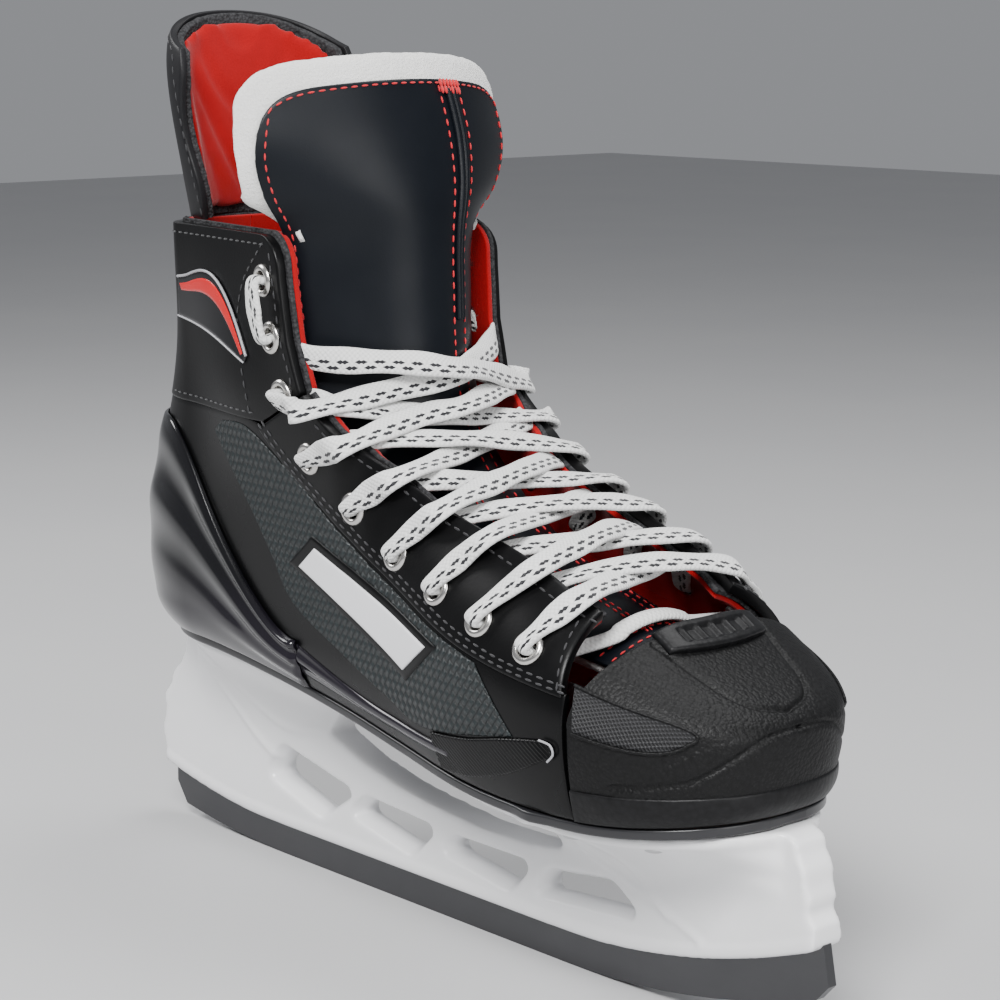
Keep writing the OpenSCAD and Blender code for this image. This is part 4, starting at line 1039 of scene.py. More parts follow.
# ---------------------------------------------------------------- toe
def cap_dome(a, t):
    out = np.maximum(np.cos(math.pi / 2 * t), 0) ** (2 / POWER)
    rise = np.sin(math.pi / 2 * t) ** (2 / POWER)
    x = TOE_CENTRE + (TOE_FRONT - TOE_CENTRE) * out * np.maximum(np.cos(a), 0) ** (2 / POWER)
    y = BALL_HALF * out * np.abs(np.sin(a)) ** (2 / POWER) * np.sign(a)
    return np.stack([x, y, WIDEST + (crest_z(x) - WIDEST) * rise], -1)


def cap_foot(a, t):
    p = cap_dome(a, np.zeros_like(t))
    z = mix(sole_z(p[..., 0]) + 0.3, WIDEST, t)
    k = tuck(p[..., 0], z) / BALL_HALF
    return np.stack([p[..., 0] - (p[..., 0] - TOE_CENTRE) * k * 0.5, p[..., 1] * (1 - k), z], -1)


CAP_ANGLE = math.acos(((CAP_REAR - TOE_CENTRE) / (TOE_FRONT - TOE_CENTRE)) ** (POWER / 2))


def cap_columns(U, wall, dome, low=0.0):
    """Columns of the toe cap from its foot, up the side, to the cap's rear line."""
    a = CAP_ANGLE * U
    ts = np.linspace(0, 0.94, 190)
    pts = cap_dome(a[:, None] + 0 * ts, ts[None] + 0 * a[:, None])
    line = mix(CAP_REAR, CAP_TOP_REAR, ease((pts[..., 2] - WIDEST) / 26))
    behind = pts[..., 0] < line
    end = np.where(behind.any(1), ts[np.argmax(behind, 1)], 0.94)
    end = np.maximum(end, 0.02)
    A = cap_foot(a[:, None] + 0 * wall, mix(low, 1, wall)[None] + 0 * a[:, None])
    B = cap_dome(a[:, None] + 0 * dome, end[:, None] * dome[None])
    return np.concatenate([A[:, :-1], B], 1)


def groove(P, line, s, width=0.75, deep=0.8):
    """Depth of a moulded line that runs through [x, y, z] points."""
    L = np.array(line, float)
    L = L * [1, s, 1]
    path = spline(L, np.linspace(0, len(L) - 1, 40 * (len(L) - 1)))
    flat = P.reshape(-1, 3)
    d = np.min(np.linalg.norm(flat[:, None] - path[None], axis=2), axis=1)
    return -deep * np.exp(-(d / width) ** 2).reshape(P.shape[:2])


def toe_cap():
    U = np.concatenate([[-1, -0.9985, -0.994], np.linspace(-0.985, 0.985, 241), [0.994, 0.9985, 1]])
    wall, dome = spaced(34, 24, 0.5)[:-4], np.concatenate([np.linspace(0, 0.97, 80), [0.982, 0.992, 0.998,
        1]])
    wall = np.concatenate([wall[wall < 0.96], [1.0]])
    P = cap_columns(U, wall, dome)
    N = facing_out(P, grid_normals(P))
    out = np.zeros(P.shape[:2])
    for s in (LATERAL, MEDIAL):
        for line in ([(103, 38.8, 70.5), (112, 34.4, 72.0), (121.5, 28, 74.2), (127, 20.5, 79.5),
                      (131.4, 12, 84.6), (132.8, 0, 86)],
                     [(101, 20, 107.5), (113, 17, 101), (121, 14, 96.5), (126.5, 9, 91.5), (130.2, 0, 91)]):
            n = line_on_cap(line)
            out += groove(P, n, s)
    out += 0.35 * ease((mix(70.0, 85.5, ease((P[..., 0] - 103) / 27)) - P[..., 2]) / 1.6) * ease((P[..., 0]
        - 101) / 6)
    piece = shell("toe_cap_moulding", P, N, out, SHELL, mat("toe"), 0.6, 0.4)
    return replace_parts(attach(piece, "root"), "toe_cap")


def line_on_cap(points):
    """Brings points on to the cap: keeps height and direction from the toe's centre."""
    out = []
    for x, y, z in points:
        if z < WIDEST:
            a = math.atan2(abs(y) + 1e-6, x - TOE_CENTRE)
            best = min((cap_foot(np.array(a2), np.array((z - sole_z(x) - 0.3) / (WIDEST - sole_z(x) - 0.3)))
                        for a2 in np.linspace(0.0, CAP_ANGLE, 160)),
                       key=lambda p: abs(math.atan2(p[1], p[0] - TOE_CENTRE) - a))
        else:
            best = min((cap_dome(np.array(a2), np.array(t2)) for a2 in np.linspace(0, CAP_ANGLE, 60)
                        for t2 in np.linspace(0, 0.94, 50)),
                       key=lambda p: (p[0] - x) ** 2 + (p[1] - abs(y)) ** 2 + (p[2] - z) ** 2)
        out.append(tuple(float(v) for v in best))
    return out


def toe_bumper():
    U = np.concatenate([[-1, -0.9985, -0.994], np.linspace(-0.985, 0.985, 161), [0.994, 0.9985, 1]])
    a = CAP_ANGLE * U
    wall = spaced(12, 9, 0.8)
    P = cap_foot(a[:, None] + 0 * wall, 0.36 * wall[None] + 0 * a[:, None])
    N = facing_out(P, grid_normals(P))
    out = 0.5 + 0.9 * np.sin(math.pi * wall)[None] ** 0.7 * ease((1 - np.abs(U)) / 0.2)[:, None]
    piece = shell("toe_rand", P, N, out, -0.05, mat("rubber"), 0.4, 0.05)
    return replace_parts(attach(piece, "root"), "toe_bumper")


def toe_leaf(s):
    """Leaf of ribbed mesh in a moulded rim on the side of the cap."""
    k = np.concatenate([[0, 0.004, 0.015], np.linspace(0.03, 0.985, 60), [0.995, 1]])
    a = s * mix(CAP_ANGLE - 0.03, 0.60, k)
    half = 0.115 * (1 - k ** 3.2) ** 0.5 + 0.004
    mid = mix(0.115, 0.055, k)
    j = np.linspace(0, 1, 15)
    lo, hi = mid - half, mid + half
    t = mix(lo[:, None], hi[:, None], j[None])
    up = cap_dome(a[:, None] + 0 * j, np.maximum(t, 0))
    down = cap_foot(a[:, None] + 0 * j, 1 + np.minimum(t, 0) * 4.2)
    P = np.where((t < 0)[..., None], down, up)
    N = facing_out(P, grid_normals(P))
    body = shell("leaf", P, N, 0.35, -0.02, mat("mesh"), 0.2, 0.05)
    edge = np.concatenate([P[:, 0], P[-1, 1:-1], P[::-1, -1]])
    n = np.concatenate([N[:, 0], N[-1, 1:-1], N[::-1, -1]])
    rim = tube("rim", edge + n * 0.25, 0.5, 8, mat("toe"))
    piece = join("toe_leaf_" + side_name(s), [body, rim])
    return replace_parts(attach(piece, "root"), "toe_mesh_" + side_name(s))


def toe_tab():
    """Curved tab over the cap's top edge, with a row of slots."""
    Y = np.concatenate([[-18, -17.7, -17.2], np.linspace(-16.5, 16.5, 70), [17.2, 17.7, 18]])
    V = spaced(22, 9, 0.8)
    y = Y[:, None] + 0 * V
    taper = 1 - 0.28 * (np.abs(y) / 18) ** 3
    x = mix(98.0, 107.0, 0.5 + (V[None] - 0.5) * taper) - 0.006 * y ** 2
    inside = 1 - (np.abs(y) / BALL_HALF) ** POWER - ((x - TOE_CENTRE) / (TOE_FRONT - TOE_CENTRE)) ** POWER
    z = WIDEST + (crest_z(x) - WIDEST) * np.maximum(inside, 0) ** (1 / POWER)
    P = np.stack([x, y, z], -1)
    N = facing_out(P, grid_normals(P))
    v = np.abs(V - 0.5)[None] * 2
    slot = 1.1 * ease((0.56 - v) / 0.14) * ease((12.5 - np.abs(y)) / 1.2)
    bars = np.maximum(ease((1.0 - np.abs((y + 2.6) % 5.2 - 2.6)) / 0.5), 0)
    out = 2.3 - slot * (1 - bars * 0.75) - 1.1 * (np.abs(y) / 18) ** 6
    piece = shell("toe_tab_moulding", P, N, out, 0.4, mat("rubber"), 0.9, 0.1)
    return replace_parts(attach(piece, "root"), "toe_tab")


# ---------------------------------------------------------------- soles and footbed
def sole_plate(name, depth, low, high, material, bulge=0.0):
    U, V = spaced(110, 250, 0.5), spaced(22, 80, 0.5)
    a, b = rear_x(72) + depth + 0.4, TOE_FRONT - depth - 0.4
    x = mix(a, b, (1 - np.cos(math.pi * U)) / 2)
    e = np.clip((x - TOE_CENTRE) / (TOE_FRONT - depth - TOE_CENTRE), 0, 1)
    k = tuck(x, sole_z(x)) / BALL_HALF * ease((x - TOE_CENTRE) / 15)
    front = (BALL_HALF - depth) * np.maximum(1 - e ** POWER, 0) ** (1 / POWER) * (1 - k)
    side = np.maximum(half_w(x, sole_z(x)) - depth, 0)
    y = np.maximum(mix(side, front, ease((x - TOE_CENTRE) / 15)), 0.6)
    q = x - np.maximum(x - TOE_CENTRE, 0) * k * 0.5
    yy = y[:, None] * (2 * V - 1)[None]
    cup = bulge * (np.abs(2 * V - 1)[None] ** 3) * ease((-q - 20) / 60)[:, None]
    P = np.stack([q[:, None] + 0 * yy, yy, sole_z(q)[:, None] + cup], -1)
    N = np.zeros_like(P)
    N[..., 2] = 1
    return shell(name, P, N, high, -low, material, min((high - low) * 0.4, 0.9), min((high - low) * 0.4, 0.9))


# ---------------------------------------------------------------- tongue and guard
def tongue_line(t):
    m = spline(TONGUE, t)
    d = spline(TONGUE, np.minimum(np.asarray(t) + 0.1, 12)) - spline(TONGUE, np.maximum(np.asarray(t) - 0.1,
        0))
    d = d / np.linalg.norm(d, axis=-1, keepdims=True)
    return m, np.stack([d[..., 1], -d[..., 0]], -1)


def tongue_xyz(t, w, d=0.0, e=0.0):
    t, w = np.broadcast_arrays(np.asarray(t, float), np.asarray(w, float))
    m, o = tongue_line(t)
    half = curve(TONGUE_HALF, t)
    y = (half + e * ease((t - 9.4) / 0.9)) * np.sin(math.radians(62) * w) / math.sin(math.radians(62))
    sag = curve(TONGUE_DROP, t) * y * y / (half * half) + d
    return np.stack([m[..., 0] - o[..., 0] * sag, y, m[..., 1] - o[..., 1] * sag], -1)


def rounded_top(W, corner=0.42, drop=0.62):
    """How far the tongue's top corners are cut back along it, by the share across."""
    k = np.clip((np.abs(W) - (1 - corner)) / corner, 0, 1)
    return drop * (1 - np.sqrt(np.maximum(1 - k ** 2.2, 0)))


def tongue_sheet(name, material, d0, d1, e, lift, n, m, rim, back_rim, dip=0.0):
    W = spaced(m, 80, rim) * 2 - 1
    T = spaced(n, 190, rim)
    top = 12 - rounded_top(W)
    t = 0.3 + (top[None] - 0.3) * T[:, None]
    P = tongue_xyz(t, W[None] + 0 * t, 0.0, e)
    up = lift * np.clip((T - 0.9) / 0.1, 0, 1)[:, None] ** 1.5
    P = P + np.stack([-0.3 * up, 0 * up, up], -1)
    N = facing_out_tongue(P)
    deep = d0 + dip * np.exp(-((t - 9.45) / 0.45) ** 2) * np.abs(W[None]) ** 4
    return shell(name, P, N, -deep, d1, material, rim, back_rim)


def facing_out_tongue(P):
    N = grid_normals(P)
    return N if N[..., 0].mean() + N[..., 2].mean() > 0 else -N


def tongue_pieces():
    leather = tongue_sheet("tongue_facing", mat("tongue"), 0.0, 1.6, 0.0, 0.0, 150, 60, 0.7, 0.3)
    felt = tongue_sheet("tongue_felt", mat("felt"), 1.7, 7.0, 4.8, 8.2, 150, 70, 2.4, 2.4, 2.2)
    roughen(felt, 0.35, 0.28)
    piping = []
    ts = np.linspace(8.2, 11.75, 90)
    for w, r in ((0.255, 1.0), (0.30, 1.0)):
        piping.append(tube("pipe", tongue_xyz(ts, w, -0.35), r, 10, mat("tongue")))
    pipe = join("tongue_piping_roll", piping)
    rows = []
    top_w = np.linspace(-0.93, 0.93, 160)
    rows.append(np.concatenate([tongue_xyz(np.linspace(8.4, 11.35, 60), -0.93, -0.15),
                                tongue_xyz(11.87 - rounded_top(top_w, 0.42, 0.52), top_w, -0.15),
                                tongue_xyz(np.linspace(11.35, 8.4, 60), 0.93, -0.15)]))
    rows += [tongue_xyz(ts, w, -0.15) for w in (0.19, 0.365)]
    red = stitches("tongue_stitches_top", rows, "thread_red", 2.1, 1.1, 0.6)
    low_rows = [tongue_xyz(np.linspace(0.9, 8.0, 120), w, -0.15) for w in (0.19, 0.365)]
    low_rows += [tongue_xyz(np.linspace(0.9, 5.2, 70), w, -0.15) for w in (-0.18, -0.12)]
    low_rows += [tongue_xyz(k, np.linspace(-0.85, 0.85, 40), -0.15) for k in (0.75, 0.95)]
    low = stitches("tongue_stitches_low", low_rows, "thread_red", 1.9, 1.0, 0.55)
    bars = [tongue_xyz(np.linspace(11.72, 11.86, 3), w, -0.9) for w in np.linspace(0.2, 0.35, 6)]
    tack = stitches("tongue_bar_tack", bars, "thread_red", 2.6, 0.2, 1.0)
    for piece in (leather, felt, pipe, red):
        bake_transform(piece)
    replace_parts(leather, "tongue_leather_lower", "tongue_leather_upper")
    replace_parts(felt, "tongue_felt_lower", "tongue_felt_upper")
    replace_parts(pipe, "tongue_piping")
    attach(low, "root")
    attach(tack, "tongue_top")


def roughen(obj, amount, scale):
    """Uneven, fuzzy surface on felt."""
    for v in obj.data.vertices:
        p = v.co / MM
        k = noise.noise(p * scale) * 0.6 + noise.noise(p * scale * 3.1) * 0.4
        v.co += v.normal * (k * amount * MM)


def guard_xyz(w, t, d):
    z = mix(COLLAR + 0.6, GUARD_TOP, t) - 5 * w * w * t
    half = curve([(197, 28), (215, 31), (240, 33), (255, 31), (GUARD_TOP, 25)], z) - d
    x = (rear_x(205) - 5 * ease((z - 201) / 62) - 1 + d
         + 34 * (1 - 0.25 * t) * (1 - np.sqrt(np.maximum(1 - 0.93 * w * w, 0))))
    return np.stack([x, half * np.sin(math.radians(80) * w) / math.sin(math.radians(80)), z], -1)


def guard_grid(share, m, n, low=0.0, high=1.0):
    W, T = spaced(m, 110, 0.8) * 2 - 1, spaced(n, 62, 0.8)
    w, t = np.meshgrid(W * share, mix(low, high, T), indexing="ij")
    wave = 0.02 * np.sin(t * 9.0) * np.abs(w) ** 4
    P = guard_xyz(w * (1 - 0.05 * (1 - t)) + np.sign(w) * wave, t - 0.10 * np.abs(w) ** 5 * t, 0.0)
    N = grid_normals(P)
    if (N * (P - np.array([-70.0, 0, 230.0]))).sum(-1).mean() < 0:
        N = -N
    return P, N


def guard_pieces():
    P, N = guard_grid(1.0, 90, 60)
    outer = shell("guard_outer", P, N, 0.0, 2.3, mat("guard"), 1.0, 0.5)
    Q, M = guard_grid(0.985, 80, 50, 0.0, 0.985)
    foam = shell("guard_binding", Q, M, -2.3, 4.6, mat("foam"), 0.8, 0.8)
    roughen(foam, 0.35, 0.5)
    R, O = guard_grid(0.94, 60, 40, 0.02, 0.955)
    pad = shell("guard_lining", R, O, -4.3, 6.7, mat("red"), 0.9, 1.2)
    puff(pad, 5.0, 1.3)
    thread = stitches("guard_stitches", [guard_line(0.955, -0.15)], "thread_dark", 2.4, 1.4, 0.6)
    for piece in (outer, foam, pad, thread):
        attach(piece, "tendon_guard")
    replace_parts(outer, "tendon_guard_shell")
    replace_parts(pad, "tendon_guard_pad")


def guard_line(share, lift):
    t = np.concatenate([np.linspace(0.05, 0.93, 60), np.full(90, 0.95), np.linspace(0.93, 0.05, 60)])
    w = np.concatenate([np.full(60, -share), np.linspace(-share, share, 90), np.full(60, share)])
    P = guard_xyz(w, t - 0.10 * np.abs(w) ** 5 * t, 0.0)
    return P + np.array([-0.2, 0, 0.0]) * lift


# ---------------------------------------------------------------- laces
LACE_OUT, LACE_OVER, LACE_IN = 3.6, 3.2, -5.9


def on_eyelet(s, i, h):
    return side_xyz(s, *EYELETS[i]) + side_normal(s, *EYELETS[i]) * h


def on_throat(s, i, h):
    a, b = np.array(THROAT[i + 1], float), np.array(THROAT[min(i + 2, 10)], float)
    p = mix(a, b, 0.35)
    return side_xyz(s, *p) + side_normal(s, *p) * h


def on_tongue(s, i, y, h):
    a, b = on_throat(s, i, 0), on_throat(-s, i - 1, 0)
    f = (a[1] - y) / (a[1] - b[1])
    m = mix(a, b, f)
    ts = np.linspace(1, 11, 300)
    t = float(np.interp(m[2], spline(TONGUE, ts)[:, 1], ts))
    w = abs(y) / curve(TONGUE_HALF, t)
    c, o = tongue_line(np.array(t))
    face = c - o * curve(TONGUE_DROP, t) * w * w
    x = max(m[0], face[0] + 2.2)
    return np.array([x + h * 0.7, y, m[2] + h * 0.7]), np.array([o[0], 0, o[1]])


def edge_way(s, i):
    """Direction of the facing's edge beside an eyelet."""
    a, b = THROAT[max(min(i + 1, 9), 0)], THROAT[min(i + 2, 10)]
    d = side_xyz(s, *b) - side_xyz(s, *a)
    return d / np.linalg.norm(d)


def lace_route(s, h):
    """Points and width directions of one strand, from the toe to its end inside the cuff."""
    route = [(on_eyelet(s, 8, LACE_IN), edge_way(s, 8)), (on_eyelet(s, 8, 0.5), edge_way(s, 8))]
    for k in range(8, 1, -1):
        side = s if k % 2 == 0 else -s
        e, f = edge_way(side, k), edge_way(-side, k - 1)
        route += [(on_eyelet(side, k, LACE_OUT), e), (mix(on_eyelet(side, k, LACE_OUT + 0.9),
                                                          on_throat(side, k, LACE_OVER + 0.4), 0.5), e),
                  (on_throat(side, k, LACE_OVER), e)]
        for y in ((0,) if k > 3 else (side * 13, 0, -side * 13)):
            p, n = on_tongue(side, k, y, h)
            cross = mix(e, f, 0.5 - 0.5 * y / 22 * side)
            route.append((p + n * 0.3, cross))
        route += [(on_throat(-side, k - 1, LACE_IN + 1.2), f), (on_eyelet(-side, k - 1, LACE_IN), f),
                  (on_eyelet(-side, k - 1, 0.0), f)]
    n = side_normal(-s, *EYELETS[1])
    along = on_eyelet(-s, 0, 0) - on_eyelet(-s, 1, 0)
    across = np.cross(along / np.linalg.norm(along), n)
    route[-1] = (on_eyelet(-s, 1, 0.0), across)
    route += [(on_eyelet(-s, 1, LACE_OUT), across), (mix(on_eyelet(-s, 1, LACE_OUT + 0.9), on_eyelet(-s, 0,
        LACE_OUT + 0.9), 0.5), across),
              (on_eyelet(-s, 0, LACE_OUT), across), (on_eyelet(-s, 0, 0), across),
              (on_eyelet(-s, 0, LACE_IN), across)]
    route += [(np.array([-44.0, -s * 28.5, 187]), across), (np.array([-52.0, -s * 27, 187]), across)]
    return route


def lace_strand(s, h, name, sizes):
    route = lace_route(s, h)
    C = np.array([p for p, _ in route])
    W = np.array([w for _, w in route])
    for i in range(1, len(W)):
        if np.dot(W[i], W[i - 1]) < 0:
            W[i:] *= -1
    t = np.linspace(0, len(C) - 1, (len(C) - 1) * 14 + 1)
    P = spline(C, t)
    P = np.stack([np.convolve(np.pad(P[:, k], 3, "edge"), np.ones(7) / 7, "valid") for k in range(3)], -1)
    across = spline(W, t)
    T = np.gradient(P, axis=0)
    T /= np.linalg.norm(T, axis=1, keepdims=True)
    B = across - T * np.sum(across * T, 1, keepdims=True)
    B = np.stack([np.convolve(np.pad(B[:, k], 4, "edge"), np.ones(9) / 9, "valid") for k in range(3)], -1)
    B -= T * np.sum(B * T, 1, keepdims=True)
    B /= np.linalg.norm(B, axis=1, keepdims=True)
    U = np.cross(B, T)
    run = np.insert(np.cumsum(np.linalg.norm(np.diff(P, axis=0), axis=1)), 0, 0)
    roll = (0.16 * np.sin(run * 0.083 + h) + 0.10 * np.sin(run * 0.19 + 2 * h))[:, None]
    B, U = B * np.cos(roll) + U * np.sin(roll), U * np.cos(roll) - B * np.sin(roll)
    holes = np.array([on_eyelet(q, i, 0) for q in (LATERAL, MEDIAL) for i in range(9)])
    near = np.min(np.linalg.norm(P[:, None] - holes[None], axis=2), axis=1)
    wide = mix(2.35, sizes.lace_width / 2, ease((near - 2.8) / 8.5)) * (1 + 0.05 * np.sin(run * 0.31 + h))
    thick = mix(1.35, sizes.lace_thick / 2, ease((near - 2.5) / 7))
    sides = 20
    ang = np.linspace(0, 2 * math.pi, sides, endpoint=False)
    ca, sa = np.cos(ang), np.sin(ang)
    px, py = np.sign(ca) * np.abs(ca) ** 0.8, np.sign(sa) * np.abs(sa) ** 0.75
    rings = P[:, None] + wide[:, None, None] * px[None, :, None] * B[:, None] + thick[:, None,
        None] * py[None, :, None] * U[:, None]
    n = len(P)
    faces = [[i * sides + k, i * sides + (k + 1) % sides, (i + 1) * sides + (k + 1) % sides, (i + 1)
              * sides + k]
             for i in range(n - 1) for k in range(sides)]
    faces += [list(range(sides))[::-1], [(n - 1) * sides + k for k in range(sides)]]
    L = np.insert(np.cumsum(np.linalg.norm(np.diff(P, axis=0), axis=1)), 0, 0)
    uv = np.stack([np.repeat(L[:, None] * 0.1, sides, 1), np.repeat(px[None] * 0.5 + 0.5, n, 0)], -1)
    piece = new_object(name, rings.reshape(-1, 3), faces, mat("lace"), True, uv)
    return piece, L[-1]


def lace_pieces(sizes):
    lengths = []
    for s, h, name in ((LATERAL, 0.0, "a"), (MEDIAL, 4.4, "b")):
        piece, length = lace_strand(s, h, "flat_lace_" + name, sizes)
        lengths.append(length)
        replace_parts(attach(piece, "root"), "lace_strand_" + name)
    ws = np.linspace(-0.7, 0.7, 7)
    mid = [tongue_xyz(1.0, w, -2.4) for w in ws]
    P = np.array([on_eyelet(LATERAL, 8, LACE_IN - 1.5)] + mid + [on_eyelet(MEDIAL, 8, LACE_IN - 1.5)])
    P = spline(P, np.linspace(0, len(P) - 1, 90))
    bar = tube("flat_lace_bar", P, 2.6, 16, mat("lace"), squash=0.45, normal=np.array([0.35, 0, 0.94]))
    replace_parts(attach(bar, "root"), "lace_bar")
    tips = []
    for s in (LATERAL, MEDIAL):
        x = np.linspace(-52.2, -72, 24)
        r = 1.45 - 0.5 * ease((-x - 68) / 4)
        tips.append(tube("tip", np.stack([x, 0 * x + s * 27, 0 * x + 187], -1), r, 14, mat("tip")))
    tip = join("aglets", tips)
    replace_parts(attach(tip, "root"), "lace_tips")
    return lengths


def eyelet_pieces():
    for s in (LATERAL, MEDIAL):
        places, ways = [], []
        for i, e in enumerate(EYELETS):
            n = side_normal(s, *e)
            places.append(side_xyz(s, *e) + n * (0.35 if i < 3 else 0.8))
            ways.append(n)
        ring = [(2.7, -4.2), (2.75, 0.4), (2.95, 0.85), (3.35, 1.05), (3.9, 1.0), (4.4, 0.72), (4.7, 0.3),
                (4.72, 0.0),
                (3.35, -0.1), (3.25, -3.4), (4.2, -3.5), (4.3, -3.9), (4.1, -4.2)]
        part = turned("ring", ring, 40)
        piece = studs("eyelet_rings_" + side_name(s), places, ways, part, "nickel")
        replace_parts(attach(piece, "root"), "eyelets_" + side_name(s))


# ---------------------------------------------------------------- holder
def steel_low(x):
    x = np.asarray(x, float)
    return np.where(x > 50, 0.0019 * (x - 50) ** 2, np.where(x < -78, 0.0014 * (x + 78) ** 2, 0))


def slot_line(x):
    x = np.asarray(x, float)
    return 11 + steel_low(x) * np.where(x < 0, 1.45, 1.15)


FRONT_TOWER = [(14, 57, 61), (24, 51, 60), (37, 43, 60), (48, 38, 60), (57, 33, 60), (75, 28, 60),
               (92, 28, 60),
               (110, 30, 60), (122, 32, 60), (130, 33, 60), (136, 34, 57), (140, 35, 46)]
REAR_TOWER = [(-139, 32, 40), (-135, 33, 47), (-130, 33, 54), (-124, 33, 61), (-116, 33, 70), (-100, 33, 70),
              (-84, 34, 70), (-68, 38, 70), (-55, 44, 70), (-46, 55, 70), (-40, 62, 70)]
SPINE = [(-140, 22), (-142, 30), (-137, 41), (-120, 46), (-58, 47), (-50, 45), (-36, 40), (-20, 36.5),
         (-5, 34.5),
         (17, 32.5), (38, 33), (54, 35), (70, 38), (138, 42), (143, 36), (143, 31)]
WINDOWS = [[(-76, 36), (-43, 29), (-57, 19.5), (-82, 27)], [(-35, 28.5), (-5, 26.5), (-14, 18), (-41, 23.5)],
           [(4, 26), (36, 26), (29, 18), (1, 22)], [(45, 26), (70, 29), (79, 23), (41, 20)]]


def tower(name, table, ends):
    """Lofted tower from the bridge up to its flange, with scalloped ridges at its outer end."""
    T = np.array(table, float)
    x = np.linspace(T[0, 0], T[-1, 0], 90)
    low = np.interp(x, T[:, 0], T[:, 1])
    high = np.interp(x, T[:, 0], T[:, 2]) + 12 * (np.interp(x, T[:, 0], T[:, 2]) > 59)
    high = np.minimum(high, sole_z(x) - 3.3)
    reach = np.maximum(half_w(x, sole_z(x)) - 4, 6.0)
    rows = []
    ks = np.linspace(0, 1, 22)
    for xi, lo, hi, re in zip(x, low, high, reach):
        side = [(5.5 + (re - 5.5) * t ** 2.4, mix(lo, hi - 2.6, t)) for t in ks] + [(re, hi)]
        z = np.array([p[1] for p in side])
        scallop = ends * 1.3 * np.abs(np.sin((z - 30) / 8.2 * math.pi))
        end_share = ease((xi - 112) / 24) if ends > 0 else ease((-xi - 108) / 24)
        ring = [(xi + scallop[j] * end_share, y * (1 + 0.015 * end_share * scallop[j] * ends), zz) for j,
                (y, zz) in enumerate(side)]
        rows.append([(a, b, c) for a, b, c in ring] + [(a, -b, c) for a, b, c in ring[::-1]])
    V = np.array(rows)
    n = V.shape[1]
    faces = [[i * n + j, (i + 1) * n + j, (i + 1) * n + (j + 1) % n, i * n + (j + 1) % n]
             for i in range(len(rows) - 1) for j in range(n)]
    faces += [list(range(n)), [(len(rows) - 1) * n + j for j in range(n - 1, -1, -1)]]
    return new_object(name, V.reshape(-1, 3), faces, mat("holder"))


def prism(name, outline, half):
    n = len(outline)
    V = [(x, -half, z) for x, z in outline] + [(x, half, z) for x, z in outline]
    faces = [list(range(n)), [n + k for k in range(n - 1, -1, -1)]]
    faces += [[k, n + k, n + (k + 1) % n, (k + 1) % n] for k in range(n)]
    return new_object(name, V, faces, mat("holder"))


def window_cut(outline, waist=1.4, grow=2.1):
    """Cutter for a window: tight at the web's middle, wider towards both faces."""
    P = np.array(rounded(outline, 2.6, 8))
    T = np.roll(P, -1, 0) - np.roll(P, 1, 0)
    N = np.stack([T[:, 1], -T[:, 0]], -1) / np.maximum(np.linalg.norm(T, axis=1, keepdims=True), 1e-9)
    if ((P - P.mean(0)) * N).sum() < 0:
        N = -N
    n, rings = len(P), []
    for y, g in ((-8.5, 7.1 / 4.1 * grow), (-waist, 0), (waist, 0), (8.5, 7.1 / 4.1 * grow)):
        rings += [(x, y, z) for x, z in P + N * g]
    faces = [list(range(n)), [3 * n + k for k in range(n - 1, -1, -1)]]
    faces += [[r * n + k, (r + 1) * n + k, (r + 1) * n + (k + 1) % n, r * n + (k + 1) % n] for r in range(3)
              for k in range(n)]
    return new_object("window", rings, faces, mat("holder"))


def rounded(outline, r, steps=6):
    """Outline with its corners rounded."""
    out = []
    P = np.array(outline, float)
    for k in range(len(P)):
        a, b, c = P[k - 1], P[k], P[(k + 1) % len(P)]
        u, v = (a - b) / np.linalg.norm(a - b), (c - b) / np.linalg.norm(c - b)
        for t in np.linspace(0, 1, steps):
            out.append(tuple(b + u * r * (1 - t) ** 2 + v * r * t ** 2))
    return out


def even_net(obj, size):
    net = obj.modifiers.new("net", "REMESH")
    net.mode, net.voxel_size = "VOXEL", size * MM
    return apply_modifiers(obj)


def holder(net):
    """Hollow-windowed holder, joined, evenly meshed and smoothed like a moulding."""
    xs = np.linspace(142, -140, 60)
    spine = prism("spine", SPINE + [(x, float(slot_line(x))) for x in xs], 5.5)
    body = join("holder_casting", [spine, tower("front", FRONT_TOWER, 1), tower("rear", REAR_TOWER, -1)])
    even_net(body, 1.0)
    windows = join("windows", [window_cut(w) for w in WINDOWS])
    mod = body.modifiers.new("b", "BOOLEAN")
    mod.operation, mod.solver, mod.object = "DIFFERENCE", "MANIFOLD", windows
    apply_modifiers(body)
    bpy.data.objects.remove(windows)
    even_net(body, net)
    soft = body.modifiers.new("soft", "SMOOTH")
    soft.factor, soft.iterations = 0.5, 3
    apply_modifiers(body)
    relief(body)
    body.data.materials.clear()
    body.data.materials.append(mat("holder"))
    body.data.polygons.foreach_set("use_smooth", [True] * len(body.data.polygons))
    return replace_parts(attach(body, "root"), "blade_holder")


